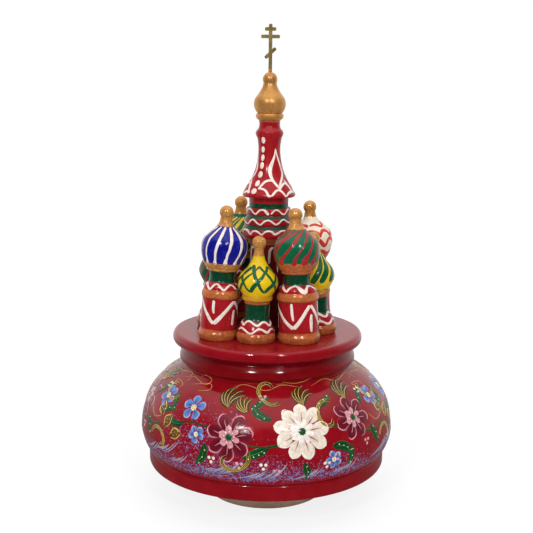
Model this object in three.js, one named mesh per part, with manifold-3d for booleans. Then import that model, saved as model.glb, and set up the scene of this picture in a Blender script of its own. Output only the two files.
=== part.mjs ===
// Rotating musical box: a turned and lacquered bowl on a bare wooden stand, crowned by nine onion-dome
// towers, with its wind-up movement inside. Millimetres, +Z up. The origin is the middle of the stand's
// underside, and the side seen in the photograph faces -Y.
import * as THREE from 'three';
import { mergeVertices } from 'three/addons/utils/BufferGeometryUtils.js';
import Module from 'manifold-3d';

const wasm = await Module();
wasm.setup();

// Clearances
const fit = 0.05;          // between pieces that stay together, all round
const run = 0.1;           // between a turning piece and its bearing, all round
const pegFit = 0.3;        // round a glued wooden peg
const pegDepth = 4.6;
const pegTip = 0.4;        // left free below a peg

// Stand, the plain disc that stays still on the table
const standR = 26.1;
const standThick = 11.5;
const standBevel = 0.6;
const flangeR = 9;
const flangeThick = 1.2;
const washerR = 6.6;
const washerThick = 1.8;
const shaftR = 2;
const shaftSink = 7.5;     // length of the shaft held in the stand

// Box body
const baseR = 51.6;
const baseRim = 6.6;       // height of the red ring
const baseSpigot = 0.8;    // register that rises into the bowl
const baseRound = 0.8;
const bellyR = 54.8;
const bellyHeight = 45;    // from the ring to the neck's lip
const bellyWaist = 9.6;    // height of the widest line above the ring
const bellyFootR = 51.2;
const shoulderR = 36.4;
const shoulderHeight = 37;
const neckR = 38.1;
const neckGroove = 1.5;
const wall = 4.6;
const mouthWall = 4.6;
const plateR = 41;
const plateThick = 5.8;
const plugDepth = 4.1;

// Towers round the middle one
const tallBaseR = 8.5;
const tallDomeR = 9.6;
const shortBaseR = 8.25;
const shortDomeR = 8.35;
const ballR = 2.92;
const tallRise = 52;        // from the deck to the middle of the ball
const shortRise = 40.5;
const towerPegR = 2.5;
const inwardLean = 3;      // degrees at least, because the glued pegs let them settle inwards

// Middle tower
const columnR = 7.8;
const columnHeight = 37.7;
const columnPegR = 4;
const drumHeight = 19.8;
const drumTopR = 8.4;
const brimR = 11.35;
const tentHeight = 31.9;
const tentWaistR = 4.65;
const topDomeR = 6.68;
const topDomeHeight = 19.95;
const topBallR = 3.05;
const topPegR = 2;
const crossHeight = 19.4;
const crossBar = 1.4;
const crossPlate = 1.1;

// Movement. Its parts are laid out from the winding shaft towards +X, the comb on -Y.
const bedThick = 2;
const wheelThick = 1.8;
const wheelRise = 0.8;     // running gap under the great wheel
const wheelTeeth = 36;
const pinionTeeth = 12;
const driveModule = 2 / 3;
const cylinderTeeth = 32;
const governorTeeth = 8;
const trainModule = 0.5;
const wormModule = 0.4;
const wormTeeth = 18;
const wormR = 1.25;
const toothFace = 2.2;     // width of the great wheel's toothed rim
const housingR = 10.3;
const housingHeight = 10.5;
const housingWall = 1;
const cylinderR = 6.3;
const chamberGap = 2;      // from the bowl's wall to the movement's farthest corner
const arborR = 1;
const pinRise = 0.8;
const notes = 18;
const pinsPerNote = 3;
const combThick = 1;
const combReach = 9.7;     // free length of a tooth
const combHeel = 7;
const tipGap = 0.15;
const governorAngle = 10;  // degrees above level, from the cylinder to the governor wheel
const framePlate = 1.2;
const sideGap = 0.7;       // between neighbours along the cylinder
const fanR = 3.5;
const fanHeight = 4;
const pivotR = 0.5;

// Levels, worked out upwards from the table
const boxBottom = standThick + flangeThick + washerThick + run;
const baseTop = boxBottom + baseRim;
const boardTop = baseTop + baseSpigot;
const bellyBottom = baseTop + fit;
const mouthTop = bellyBottom + bellyHeight;
const plateBottom = mouthTop + fit;
const deck = plateBottom + plateThick;
const plugBottom = plateBottom - plugDepth;
const mouthR = neckR - neckGroove - mouthWall + 0.7;
const columnTop = deck + fit + columnHeight;
const drumBottom = columnTop + fit;
const drumTop = drumBottom + drumHeight;
const tentBottom = drumTop + fit;
const tentTop = tentBottom + tentHeight;
const domeBottom = tentTop + fit;
const ballZ = domeBottom + topDomeHeight - topBallR;
const bedTop = boardTop + fit + bedThick;
const wheelBottom = bedTop + wheelRise;
const drivePitchR = wheelTeeth * driveModule / 2;
const pinionR = pinionTeeth * driveModule / 2;
const toothRoot = 1.3 * driveModule;
const toothTip = 0.9 * driveModule;
const pitchZ = wheelBottom + wheelThick + toothRoot;
const axisZ = pitchZ + pinionR;                    // height of the cylinder's arbor
const housingBottom = pitchZ + toothTip + 0.8;
const housingTop = housingBottom + housingHeight;
const wheelR = drivePitchR + toothFace / 2;

// Governor, across the cylinder's arbor
const gearR = cylinderTeeth * trainModule / 2;
const governorR = governorTeeth * trainModule / 2;
const wormWheelR = wormTeeth * wormModule / 2;
const governorLean = THREE.MathUtils.degToRad(governorAngle);
const governorY = (gearR + governorR) * Math.cos(governorLean);
const governorZ = axisZ + (gearR + governorR) * Math.sin(governorLean);
const wormY = governorY + wormWheelR + wormR;
const frameBack = wormY + fanR + 1.9;

// Places along the cylinder's arbor: the far plate stands off the bowl's wall, and the cylinder fills what is left
const innerFall = 3.4;     // how far the bowl's inside has drawn in at the movement's top
const gearFace = 1.2;
const wormWheelFace = 1;
const bearingX = wheelR + 0.6;
const cylinderX = bearingX + framePlate + sideGap;
const chamberR = Math.min(bellyFootR, bellyR - innerFall) - wall;   // the bowl's inside where it is narrower
const outPlateEnd = Math.sqrt((chamberR - chamberGap) ** 2 - frameBack ** 2);
const outPlateX = outPlateEnd - framePlate;
const wormWheelX = outPlateX - sideGap - wormWheelFace;
const midPlateX = wormWheelX - sideGap - framePlate;
const gearX = midPlateX - sideGap - gearFace;
const cylinderLength = gearX - 0.5 - cylinderX;
const wormX = wormWheelX + wormWheelFace / 2;
const wormPitch = Math.PI * wormModule;
const pinTipR = cylinderR + pinRise;
const combX0 = cylinderX + 0.2;
const combX1 = cylinderX + cylinderLength - 0.2;
const combTip = -(pinTipR + tipGap);
const combRoot = combTip - combReach;
const combBack = combRoot - combHeel;
const notePitch = (combX1 - combX0) / notes;
const legAngles = [90, 180, 270];                   // the spring housing's legs
const legR = wheelR + 2.6;
const movementScrews = [[1.7 - legR, legR - 2.2], [1.7 - legR, 2.2 - legR], [combX1 + 0.6, combBack + 2.45]];

// Solids and booleans

function vertexList(geometry) {
  const plain = geometry.index ? geometry.clone() : mergeVertices(geometry);
  for (const name of Object.keys(plain.attributes)) if (name !== 'position') plain.deleteAttribute(name);
  const merged = mergeVertices(plain, 1e-5);
  const kept = [];
  const index = merged.index.array;
  for (let i = 0; i < index.length; i += 3) {
    const [a, b, c] = [index[i], index[i + 1], index[i + 2]];
    if (a !== b && b !== c && c !== a) kept.push(a, b, c);
  }
  return { points: merged.attributes.position.array, triangles: kept };
}

// A closed body whose faces point outwards, whichever way its outline was drawn
function closed(geometry) {
  const { points, triangles } = vertexList(geometry);
  const [a, b, c] = [new THREE.Vector3(), new THREE.Vector3(), new THREE.Vector3()];
  let volume = 0;
  for (let i = 0; i < triangles.length; i += 3) {
    a.fromArray(points, 3 * triangles[i]);
    b.fromArray(points, 3 * triangles[i + 1]);
    c.fromArray(points, 3 * triangles[i + 2]);
    volume += a.dot(b.cross(c));
  }
  if (volume < 0) triangles.reverse();
  const out = new THREE.BufferGeometry();
  out.setAttribute('position', new THREE.BufferAttribute(new Float32Array(points), 3));
  out.setIndex(triangles);
  return out;
}

function toManifold(geometry) {
  const body = closed(geometry);
  return new wasm.Manifold(new wasm.Mesh({
    numProp: 3,
    vertProperties: body.attributes.position.array,
    triVerts: new Uint32Array(body.index.array),
  }));
}

function toGeometry(manifold) {
  const mesh = manifold.getMesh();
  const out = new THREE.BufferGeometry();
  out.setAttribute('position', new THREE.BufferAttribute(new Float32Array(mesh.vertProperties), 3));
  out.setIndex(new THREE.BufferAttribute(new Uint32Array(mesh.triVerts), 1));
  return out;
}

const join = (first, ...others) =>
  toGeometry(others.reduce((body, other) => body.add(toManifold(other)), toManifold(first)));
const cut = (first, ...tools) =>
  toGeometry(tools.reduce((body, tool) => body.subtract(toManifold(tool)), toManifold(first)));

// Shapes that stand along Z

const turned = (outline, sides) => closed(new THREE.LatheGeometry(
  outline.map(([r, z]) => new THREE.Vector2(r, z)), sides).rotateX(Math.PI / 2));

// A closed ring outline, for a turned piece with a bore
const turnedRing = (outline, sides) => turned([...outline, outline[0]], sides);

const rod = (r, bottom, top, sides = 16) =>
  new THREE.CylinderGeometry(r, r, top - bottom, sides).rotateX(Math.PI / 2).translate(0, 0, (bottom + top) / 2);

const block = (x0, x1, y0, y1, z0, z1) => new THREE.BoxGeometry(x1 - x0, y1 - y0, z1 - z0)
  .translate((x0 + x1) / 2, (y0 + y1) / 2, (z0 + z1) / 2);

const slab = (shape, bottom, thick) =>
  closed(new THREE.ExtrudeGeometry(shape, { depth: thick, bevelEnabled: false, curveSegments: 8 })
    .translate(0, 0, bottom));

// The flats of a round hole with few sides come nearer to the middle than its corners
const boreR = (r, gap, sides) => (r + gap) / Math.cos(Math.PI / sides);

// Lays a piece made along Z over onto the line y = 0, z = height, along +X
const layOver = (geometry, y, z) => geometry.rotateY(Math.PI / 2).translate(0, y, z);

// Points on a round stretch of an outline, by radius and angles in degrees
function arc(centreR, centreZ, radius, from, to, steps) {
  return Array.from({ length: steps + 1 }, (_, i) => {
    const t = THREE.MathUtils.degToRad(from + (to - from) * i / steps);
    return [centreR + radius * Math.cos(t), centreZ + radius * Math.sin(t)];
  });
}

// A smooth stretch of an outline through a few points
const smooth = (points, steps) => new THREE.SplineCurve(points.map(([r, z]) => new THREE.Vector2(r, z)))
  .getPoints(steps).map((p) => [p.x, p.y]);

// Finishes
const finish = (color, roughness, metalness = 0) =>
  () => new THREE.MeshStandardMaterial({ color, roughness, metalness });
const redLacquer = finish(0x8e1420, 0.25);
const bareWood = finish(0xd9b98a, 0.7);
const gilt = finish(0xb8863b, 0.35, 0.6);
const brass = finish(0xc9a24b, 0.3, 1);
const steel = finish(0xb4b8bc, 0.3, 1);
const zinc = finish(0x9b9fa3, 0.45, 1);
const nylon = finish(0xe9e6dc, 0.5);

const musicBox = new THREE.Group();

function add(name, geometry, material, x = 0, y = 0, z = 0) {
  const mesh = new THREE.Mesh(closed(geometry), material());
  mesh.name = name;
  mesh.position.set(x, y, z);
  musicBox.add(mesh);
}

// Slotted cheese-head screw, standing with the underside of its head at z = 0
function screw(headR, headHeight, shankR, length) {
  const body = turned([[0, -length], [shankR, -length + shankR / 2], [shankR, 0], [headR, 0],
    [headR, headHeight], [0, headHeight]], 10);
  const slot = block(-headR - 1, headR + 1, -0.2, 0.2, headHeight * 0.55, headHeight + 1);
  return cut(body, slot);
}

// Stand and winding shaft

const flangeScrewX = flangeR * 0.66;

function stand() {
  const disc = turned([[0, 0], [standR - standBevel, 0], [standR, standBevel],
    [standR, standThick - standBevel], [standR - standBevel, standThick], [0, standThick]], 36);
  const shaftHole = rod(boreR(shaftR, fit, 16), standThick - shaftSink - fit, standThick + 1);
  const pilots = [-1, 1].map((side) =>
    rod(boreR(0.8, fit, 10), standThick - 6.2, standThick + 1, 10).translate(side * flangeScrewX, 0, 0));
  add('stand_disc', cut(disc, shaftHole, ...pilots), bareWood);

  const flange = turned([[0, standThick + fit], [flangeR, standThick + fit],
    [flangeR, standThick + flangeThick], [0, standThick + flangeThick]], 24);
  const pocketR = 1.9 + fit;
  const holes = [-1, 1].flatMap((side) => [
    rod(boreR(0.8, fit, 10), standThick - 1, standThick + flangeThick + 1, 10).translate(side * flangeScrewX, 0, 0),
    rod(boreR(pocketR, 0, 10), standThick + flangeThick - 0.75, standThick + flangeThick + 1, 10)
      .translate(side * flangeScrewX, 0, 0)]);
  add('shaft_flange', cut(flange, rod(boreR(shaftR, fit, 16), standThick - 1, standThick + 3), ...holes), steel);
  for (const [i, side] of [-1, 1].entries()) {
    add(`flange_screw_${i + 1}`, screw(1.9, 0.65, 0.8, 5), steel,
      side * flangeScrewX, 0, standThick + flangeThick - 0.75 + fit);
  }
  const washerBottom = standThick + flangeThick + fit;
  add('thrust_washer', turnedRing([[boreR(shaftR, run, 24), washerBottom], [washerR, washerBottom],
    [washerR, washerBottom + washerThick - fit], [boreR(shaftR, run, 24), washerBottom + washerThick - fit]], 24),
  nylon);
  add('winding_shaft', rod(shaftR, standThick - shaftSink, housingTop - 0.3), steel);
}

// Great wheel: teeth stand up on its rim, and the cylinder's pinion rolls over them

function greatWheel() {
  const top = wheelBottom + wheelThick;
  const inner = wheelR - toothFace;
  const disc = turned([[0, wheelBottom], [wheelR, wheelBottom], [wheelR, top], [0, top]], wheelTeeth);
  const half = (share) => share * Math.PI * drivePitchR / wheelTeeth;
  const section = new THREE.Shape([
    new THREE.Vector2(-half(0.6), -0.2), new THREE.Vector2(half(0.6), -0.2),
    new THREE.Vector2(half(0.2), toothRoot + toothTip), new THREE.Vector2(-half(0.2), toothRoot + toothTip)]);
  const teeth = Array.from({ length: wheelTeeth }, (_, i) =>
    new THREE.ExtrudeGeometry(section, { depth: toothFace - 0.2, bevelEnabled: false })
      .rotateX(Math.PI / 2).rotateZ(Math.PI / 2).translate(inner + 0.1, 0, top)
      .rotateZ(2 * Math.PI * (i + 0.5) / wheelTeeth));
  add('great_wheel', cut(join(disc, ...teeth), rod(boreR(shaftR, fit, 16), 0, top + 9)), brass);
}

// Outline of a wheel with straight-sided teeth, one tooth centred on angle zero
function toothed(teeth, pitchR, tip, root, tipShare, rootShare) {
  const pitch = 2 * Math.PI / teeth;
  const points = [];
  for (let i = 0; i < teeth; i++) {
    for (const [r, share] of [[pitchR - root, -rootShare], [pitchR + tip, -tipShare],
      [pitchR + tip, tipShare], [pitchR - root, rootShare]]) {
      const angle = (i + share / 2) * pitch;
      points.push(new THREE.Vector2(r * Math.cos(angle), r * Math.sin(angle)));
    }
  }
  return new THREE.Shape(points);
}

// Box body: base board, bowl and deck

const boardScrewAngles = [30, 150, 270];

function baseBoard() {
  const spigotR = bellyFootR - wall - fit;
  const board = turned([[0, boxBottom], [baseR - baseRound, boxBottom],
    ...arc(baseR - baseRound, boxBottom + baseRound, baseRound, -60, 0, 2),
    ...arc(baseR - baseRound, baseTop - baseRound, baseRound, 0, 90, 2),
    [spigotR, baseTop], [spigotR, boardTop], [0, boardTop]], 36);
  const tools = [rod(boreR(shaftR, 0.6, 16), 0, boardTop + 1)];
  for (const [x, y] of movementScrews) {
    tools.push(rod(boreR(1.1, 0.15, 10), boxBottom - 1, boardTop + 1, 10).translate(x, y, 0));
    tools.push(rod(boreR(2.4, 0.15, 10), boxBottom - 1, boxBottom + 2.4, 10).translate(x, y, 0));
  }
  for (const angle of boardScrewAngles) {
    const place = new THREE.Vector3(bellyFootR - wall / 2, 0, 0)
      .applyAxisAngle(new THREE.Vector3(0, 0, 1), THREE.MathUtils.degToRad(angle));
    tools.push(rod(boreR(1, 0.15, 10), boxBottom - 1, baseTop + 1, 10).translate(place.x, place.y, 0));
    tools.push(rod(boreR(1.7, 0.15, 10), boxBottom - 1, boxBottom + 1.8, 10).translate(place.x, place.y, 0));
  }
  add('base_board', cut(board, ...tools), redLacquer);
}

function belly() {
  const lip = bellyFootR + 0.2;
  const waist = bellyBottom + bellyWaist;
  const outside = smooth([[lip, bellyBottom + 0.3], [bellyR - 1.2, waist - 6], [bellyR, waist],
    [bellyR - 0.95, waist + 7.2], [bellyR - 3.7, waist + 14.4], [bellyR - 9.5, waist + 21.2],
    [shoulderR + 2.6, bellyBottom + shoulderHeight - 2], [shoulderR, bellyBottom + shoulderHeight]], 12);
  const grooveR = neckR - neckGroove;
  const neckLow = bellyBottom + shoulderHeight + 0.6;
  const outline = [
    [lip, bellyBottom], ...outside,
    [grooveR, neckLow], [neckR - 0.3, neckLow + 0.5], [neckR, neckLow + 1.4], [neckR - 0.05, neckLow + 3.1],
    [neckR - 0.7, neckLow + 3.7], [neckR - 0.5, mouthTop - 0.6], [neckR - 0.9, mouthTop],
    [mouthR, mouthTop], [mouthR, neckLow - 1.5],
    ...smooth([[mouthR + 4, neckLow - 4.4], [bellyR - wall - innerFall, waist + 14.4],
      [bellyR - wall, waist], [bellyFootR - wall, bellyBottom + baseSpigot + 0.6]], 6),
    [bellyFootR - wall, bellyBottom],
  ];
  const pilots = boardScrewAngles.map((angle) =>
    rod(boreR(1, 0.1, 10), bellyBottom - 1, bellyBottom + 6, 10).translate(bellyFootR - wall / 2, 0, 0)
      .rotateZ(THREE.MathUtils.degToRad(angle)));
  add('belly_shell', cut(turnedRing(outline, 36), ...pilots), redLacquer);
}

function boardScrews() {
  for (const [i, angle] of boardScrewAngles.entries()) {
    const t = THREE.MathUtils.degToRad(angle);
    const r = bellyFootR - wall / 2;
    add(`base_screw_${i + 1}`, screw(1.7, 1.2, 1, baseRim + 2.4).rotateX(Math.PI), steel,
      r * Math.cos(t), r * Math.sin(t), boxBottom + 1.75);
  }
}

// Towers. Each stands on a peg glued in the deck; the list goes round the plate.
// Name, kind, angle from +X, distance from the middle, lean inwards beyond the common one, lean sideways,
// girth of the body, share of the common height, and how far the dome's upper half is drawn in, 0 to 1.
const towers = [
  ['tower_yellow', 'short', -102.75, 21.8, 0, -0.95, 1, 1, 1],
  ['tower_green', 'tall', -57.8, 24.5, 1.2, 0, 1.05, 1, 0],
  ['tower_swirl', 'short', -11.8, 22.1, 0.8, 0, 1, 1, 0],
  ['tower_white', 'tall', 36.9, 25.9, 0.5, 0, 1, 1, 0],
  ['tower_rear', 'short', 79, 22.6, 0, 0, 1, 1, 0],
  ['tower_olive', 'tall', 122, 26.1, 0, 0, 1, 1.02, 0],
  ['tower_striped', 'short', 161.8, 24.5, 0.3, 0, 1, 1, 0],
  ['tower_blue', 'tall', 218.6, 26.7, 2, 0, 0.97, 1.008, 0],
];
// The ring opens with the towers' own girth, so that neighbours stay apart
const towerPlace = ([, , angle, distance]) => {
  const t = THREE.MathUtils.degToRad(angle);
  const reach = distance * (tallBaseR + shortBaseR) / 16.75;
  return [reach * Math.cos(t), reach * Math.sin(t)];
};

function topPlate() {
  const plate = turned([[0, plugBottom], [mouthR - fit, plugBottom], [mouthR - fit, plateBottom],
    [plateR - 1.2, plateBottom], [plateR - 0.3, plateBottom + 0.6], [plateR, plateBottom + 1.5],
    [plateR, deck - 2.1], [plateR - 0.4, deck - 1], [plateR - 0.9, deck - 0.3], [plateR - 1.6, deck],
    [0, deck]], 36);
  const holes = towers.map((tower) => rod(boreR(towerPegR, pegFit, 12), deck - pegDepth - pegTip, deck + 1, 12)
    .translate(...towerPlace(tower), 0));
  add('top_plate', cut(plate, rod(boreR(columnPegR, pegFit, 16), deck - pegDepth - pegTip, deck + 1), ...holes),
    redLacquer);
}

// Outlines from the deck up, drawn at the photographed sizes. The body, the dome and the heights are then
// stretched to the named sizes, and the ball is set on top.
const stretched = (outline, neck, bodyShare, domeShare, rise, drawnRise) => [
  ...outline.map(([r, h]) => [r * (h < neck ? bodyShare : domeShare), h * rise / drawnRise]),
  ...arc(0, rise, ballR, -38, 90, 4)];

const tallOutline = (girth, height) => stretched([
  [0, -1], [8 * girth, -1], [8 * girth, 0], ...arc(6.6 * girth, 1.9, 1.9 * girth, -35, 60, 3), [7.9 * girth, 4.2],
  [7.72 * girth, 17.2], [8.13 * girth, 17.9], [8.13 * girth, 19.4],
  [7.65 * girth, 20.3], [7.3 * girth, 21.7], [6.25 * girth, 22.9],
  [5.35, 23.6], [5.2, 25.8], [5.5, 27.9], [7.85, 30.9], [8.4, 31.6],
  ...smooth([[8.75, 32.8], [9.6, 37.6], [8.5, 41.7], [6.3, 44], [4.15, 46], [3, 47.6]], 5),
  [2.5, 49.4]], 23.5, tallBaseR / 8.5, tallDomeR / 9.6, tallRise * height, 52);

const shortOutline = (girth, height, draw) => stretched([
  [0, -1], [7.75 * girth, -1], [7.75 * girth, 0], ...arc(6.55 * girth, 1.7, 1.7 * girth, -35, 60, 3),
  [7.65 * girth, 4.1], [6.65 * girth, 7.1], [5.65 * girth, 8.5],
  [5.3, 8.9], [4.8, 11.8], [5.05, 15.9], [5.25, 16.9], [6.3, 17.2], [6.2, 19.3],
  ...smooth([[7, 20.6], [8.35, 24.1], [7.55 - 0.4 * draw, 27.7], [5.25 - 0.85 * draw, 30.8],
    [3.6 - 0.75 * draw, 33.4], [2.6 - 0.5 * draw, 35.8]], 5),
  [2.15 - 0.2 * draw, 37.7]], 8.7, shortBaseR / 8.25, shortDomeR / 8.35, shortRise * height, 40.5);

function tower(spec) {
  const [name, kind, angle, , moreLean, sideLean, girth, height, draw] = spec;
  const outline = kind === 'tall' ? tallOutline(girth, height) : shortOutline(girth, height, draw);
  const t = THREE.MathUtils.degToRad(angle);
  const leaning = turned(outline, 12)
    .applyMatrix4(new THREE.Matrix4().makeRotationAxis(new THREE.Vector3(Math.sin(t), -Math.cos(t), 0),
      THREE.MathUtils.degToRad(inwardLean + moreLean)))
    .applyMatrix4(new THREE.Matrix4().makeRotationAxis(new THREE.Vector3(Math.cos(t), Math.sin(t), 0),
      THREE.MathUtils.degToRad(sideLean)));
  const footing = block(-20, 20, -20, 20, -9, fit);
  const peg = rod(towerPegR, -pegDepth, 1, 12);
  add(name, join(cut(leaning, footing), peg), redLacquer, ...towerPlace(spec), deck);
}

// Middle tower, four turned pieces pegged into each other

function centralColumn() {
  const foot = deck + fit;
  add('central_column', turned([[0, deck - pegDepth], [columnPegR, deck - pegDepth], [columnPegR, foot],
    [columnR + 0.9, foot], [columnR + 0.9, foot + 1.6], [columnR, foot + 2.4], [columnR, columnTop],
    [columnPegR, columnTop], [columnPegR, columnTop + pegDepth], [0, columnTop + pegDepth]], 20), redLacquer);
}

// One half-round swelling between two heights of an outline
const swell = (r, low, high, out) => [[r - out, low], [r - 0.1 * out, low + 0.3 * (high - low)],
  [r - 0.1 * out, high - 0.3 * (high - low)], [r - out, high]];

function tierDrum() {
  const hole = columnPegR + pegFit;
  const z = drumBottom;
  add('tier_drum', turned([[0, z + pegDepth + pegTip], [hole, z + pegDepth + pegTip], [hole, z],
    [drumTopR - 0.1, z], [drumTopR + 0.4, z + 0.9], [drumTopR + 2, z + 2.7],
    ...swell(drumTopR + 2.7, z + 2.9, z + 6.9, 0.6), [drumTopR + 1.65, z + 8],
    ...swell(drumTopR + 1.9, z + 8.1, z + 11.1, 0.5), [drumTopR + 0.6, z + 12.2],
    ...swell(drumTopR + 1, z + 12.3, z + 15.4, 0.7), [drumTopR, z + 15.9], [drumTopR, drumTop], [hole, drumTop],
    [hole, drumTop - pegDepth - pegTip], [0, drumTop - pegDepth - pegTip]], 18), redLacquer);
}

function tentSpire() {
  const z = tentBottom;
  const hole = topPegR + pegFit;
  const waist = tentWaistR;
  add('tent_spire', turned([[0, z - pegDepth], [columnPegR, z - pegDepth], [columnPegR, z],
    [brimR - 0.4, z], [brimR, z + 1.1], [brimR - 0.2, z + 1.9],
    ...smooth([[brimR - 1.75, z + 4.4], [waist + 2.75, z + 8.2], [waist + 1.2, z + 12], [waist + 0.45, z + 15.7],
      [waist, z + 19.4], [waist + 0.3, z + 23.6]], 6),
    ...swell(waist + 1.25, z + 25, z + 28.4, 0.75), [waist - 0.25, z + 29.6], [waist - 0.25, tentTop],
    [hole, tentTop], [hole, tentTop - 3.9], [0, tentTop - 3.9]], 18), redLacquer);
}

function gildedDome() {
  const z = domeBottom;
  const pinHole = 0.9;
  add('gilded_dome', turned([[0, z - 3.5], [topPegR, z - 3.5], [topPegR, z], [topDomeR - 2.1, z],
    [topDomeR - 0.9, z + 1.5], [topDomeR - 0.8, z + 2.3], [topDomeR - 1.1, z + 3],
    ...smooth([[topDomeR - 0.85, z + 3.6], [topDomeR, z + 6.6], [topDomeR - 0.4, z + 8.9], [4.6, z + 11.3],
      [3.3, z + 13.5]], 5),
    [2.9, z + 14.9], ...arc(0, ballZ, topBallR, -24, 70, 4),
    [pinHole, ballZ + topBallR - 0.15], [pinHole, ballZ - 1], [0, ballZ - 1]], 16), gilt);
}

// Flat three-bar cross, the lowest bar slanting, with a pin into the ball. The bars keep their places and
// lengths as shares of its height.
function finialCross() {
  const foot = ballZ + topBallR + fit;
  const half = crossPlate / 2;
  const share = (part) => part * crossHeight;
  const bar = (halfLength) => block(-share(halfLength), share(halfLength), -half, half, -crossBar / 2, crossBar / 2);
  const slant = bar(0.155).rotateY(-THREE.MathUtils.degToRad(42.5)).translate(0, 0, foot + share(0.392));
  const pin = block(-0.5, 0.5, -half + 0.05, half - 0.05, ballZ - 0.8, foot + 0.5);
  add('finial_cross', join(post(foot, foot + crossHeight, half), bar(0.122).translate(0, 0, foot + share(0.892)),
    bar(0.203).translate(0, 0, foot + share(0.737)), slant, pin), brass);
}

// The post widens a little into its foot
function post(foot, top, half) {
  const shape = new THREE.Shape([[-1.1, foot], [1.1, foot], [0.7, foot + 2], [0.7, top], [-0.7, top],
    [-0.7, foot + 2]].map(([x, z]) => new THREE.Vector2(x * crossBar / 1.3, z)));
  return new THREE.ExtrudeGeometry(shape, { depth: 2 * half, bevelEnabled: false })
    .rotateX(Math.PI / 2).translate(0, half, 0);
}

// Movement, the pieces fixed in the box

const combZ = axisZ - combThick / 2;
const combScrewX = [0.22, 0.78].map((share) => combX0 + share * (combX1 - combX0));
const combScrewY = (combRoot + combBack) / 2;

function bedplate() {
  const bottom = boardTop + fit;
  const front = combBack;
  const edge = legR + 2.6;
  const corner = [[-edge, 1.7 - edge], [cylinderX - 2, front], [combX1 + 1.5, front], [outPlateEnd + 0.6, front + 8],
    [outPlateEnd + 0.6, wormY + 4.4], [midPlateX - 4, wormY + 6.4], [edge / 2, edge], [-edge, edge]];
  const outline = new THREE.Shape(corner.map(([x, y]) => new THREE.Vector2(x, y)));
  const window = new THREE.Shape([[cylinderX + 0.5, -5.4], [midPlateX - 0.5, -5.4], [midPlateX - 0.5, 5.4],
    [cylinderX + 0.5, 5.4]].map(([x, y]) => new THREE.Vector2(x, y)));
  outline.holes.push(window);
  const combBlock = block(combX0, combX1, combBack, combRoot - 0.6, bedTop - 0.5, combZ - fit);
  const holes = [rod(boreR(shaftR, run, 16), bottom - 1, bedTop + 1),
    ...movementScrews.map(([x, y]) => rod(boreR(1.1, fit, 10), bottom - 1, bedTop + 1, 10).translate(x, y, 0)),
    ...combScrewX.map((x) => rod(boreR(0.8, fit, 10), combZ - 5, combZ + 1, 10).translate(x, combScrewY, 0)),
    ...legAngles.map((angle) => rod(boreR(0.7, fit, 10), bottom - 1, bedTop + 1, 10).translate(legR, 0, 0)
      .rotateZ(THREE.MathUtils.degToRad(angle)))];
  add('movement_bedplate', cut(join(slab(outline, bottom, bedThick), combBlock), ...holes), zinc);
}

// Drum over the mainspring, open below, on three legs outside the great wheel
function springHousing() {
  const drum = turnedRing([[boreR(shaftR, run, 24), housingTop], [housingR, housingTop],
    [housingR, housingBottom], [housingR - housingWall, housingBottom],
    [housingR - housingWall, housingTop - 1.2], [boreR(shaftR, run, 24), housingTop - 1.2]], 24);
  const parts = [];
  const holes = [];
  for (const angle of legAngles) {
    const t = THREE.MathUtils.degToRad(angle);
    parts.push(block(housingR - 0.5, legR + 1.9, -1.9, 1.9, housingTop - 3.2, housingTop - 1.6).rotateZ(t));
    parts.push(block(wheelR + 0.7, legR + 1.9, -1.9, 1.9, bedTop + fit, housingTop - 1.6).rotateZ(t));
    holes.push(rod(boreR(0.7, fit, 10), bedTop - 1, housingTop + 1, 10).translate(legR, 0, 0).rotateZ(t));
  }
  add('spring_housing', cut(join(drum, ...parts), ...holes), zinc);
  for (const [i, angle] of legAngles.entries()) {
    const t = THREE.MathUtils.degToRad(angle);
    add(`housing_screw_${i + 1}`, screw(1.5, 0.9, 0.7, housingTop - 1.6 - bedTop + 1.2), steel,
      legR * Math.cos(t), legR * Math.sin(t), housingTop - 1.6 + fit);
  }
}

// Coiled ribbon between the shaft and the housing's wall
function mainspring() {
  const turns = 5;
  const stepsPerTurn = 10;
  const inner = shaftR + 0.6;
  const outer = housingR - housingWall - 0.3;
  const ribbon = 0.35;
  const steps = turns * stepsPerTurn;
  const side = (offset) => Array.from({ length: steps + 1 }, (_, i) => {
    const angle = 2 * Math.PI * i / stepsPerTurn;
    const r = inner + (outer - inner - ribbon) * i / steps + offset;
    return new THREE.Vector2(r * Math.cos(angle), r * Math.sin(angle));
  });
  const shape = new THREE.Shape([...side(ribbon), ...side(0).reverse()]);
  add('mainspring', slab(shape, housingBottom + 0.8, housingHeight - 2.8), steel);
}

function cylinderBearing() {
  const post = block(bearingX, bearingX + framePlate, -3, 3, bedTop + fit, axisZ + 2.6);
  const foot = block(bearingX, bearingX + framePlate, 3, 8, bedTop + fit, bedTop + 1.2);
  const hole = layOver(rod(boreR(arborR, run, 16), bearingX - 1, bearingX + framePlate + 1), 0, axisZ);
  add('cylinder_bearing', cut(join(post, foot.translate(0, -0.5, 0)), hole), zinc);
}

// Two plates on one foot carry the cylinder's end and the governor wheel; an arm holds the fan's top pivot
const fanBottom = governorZ + wormWheelR + 1.1;
const armBottom = fanBottom + fanHeight + 0.6;

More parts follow.
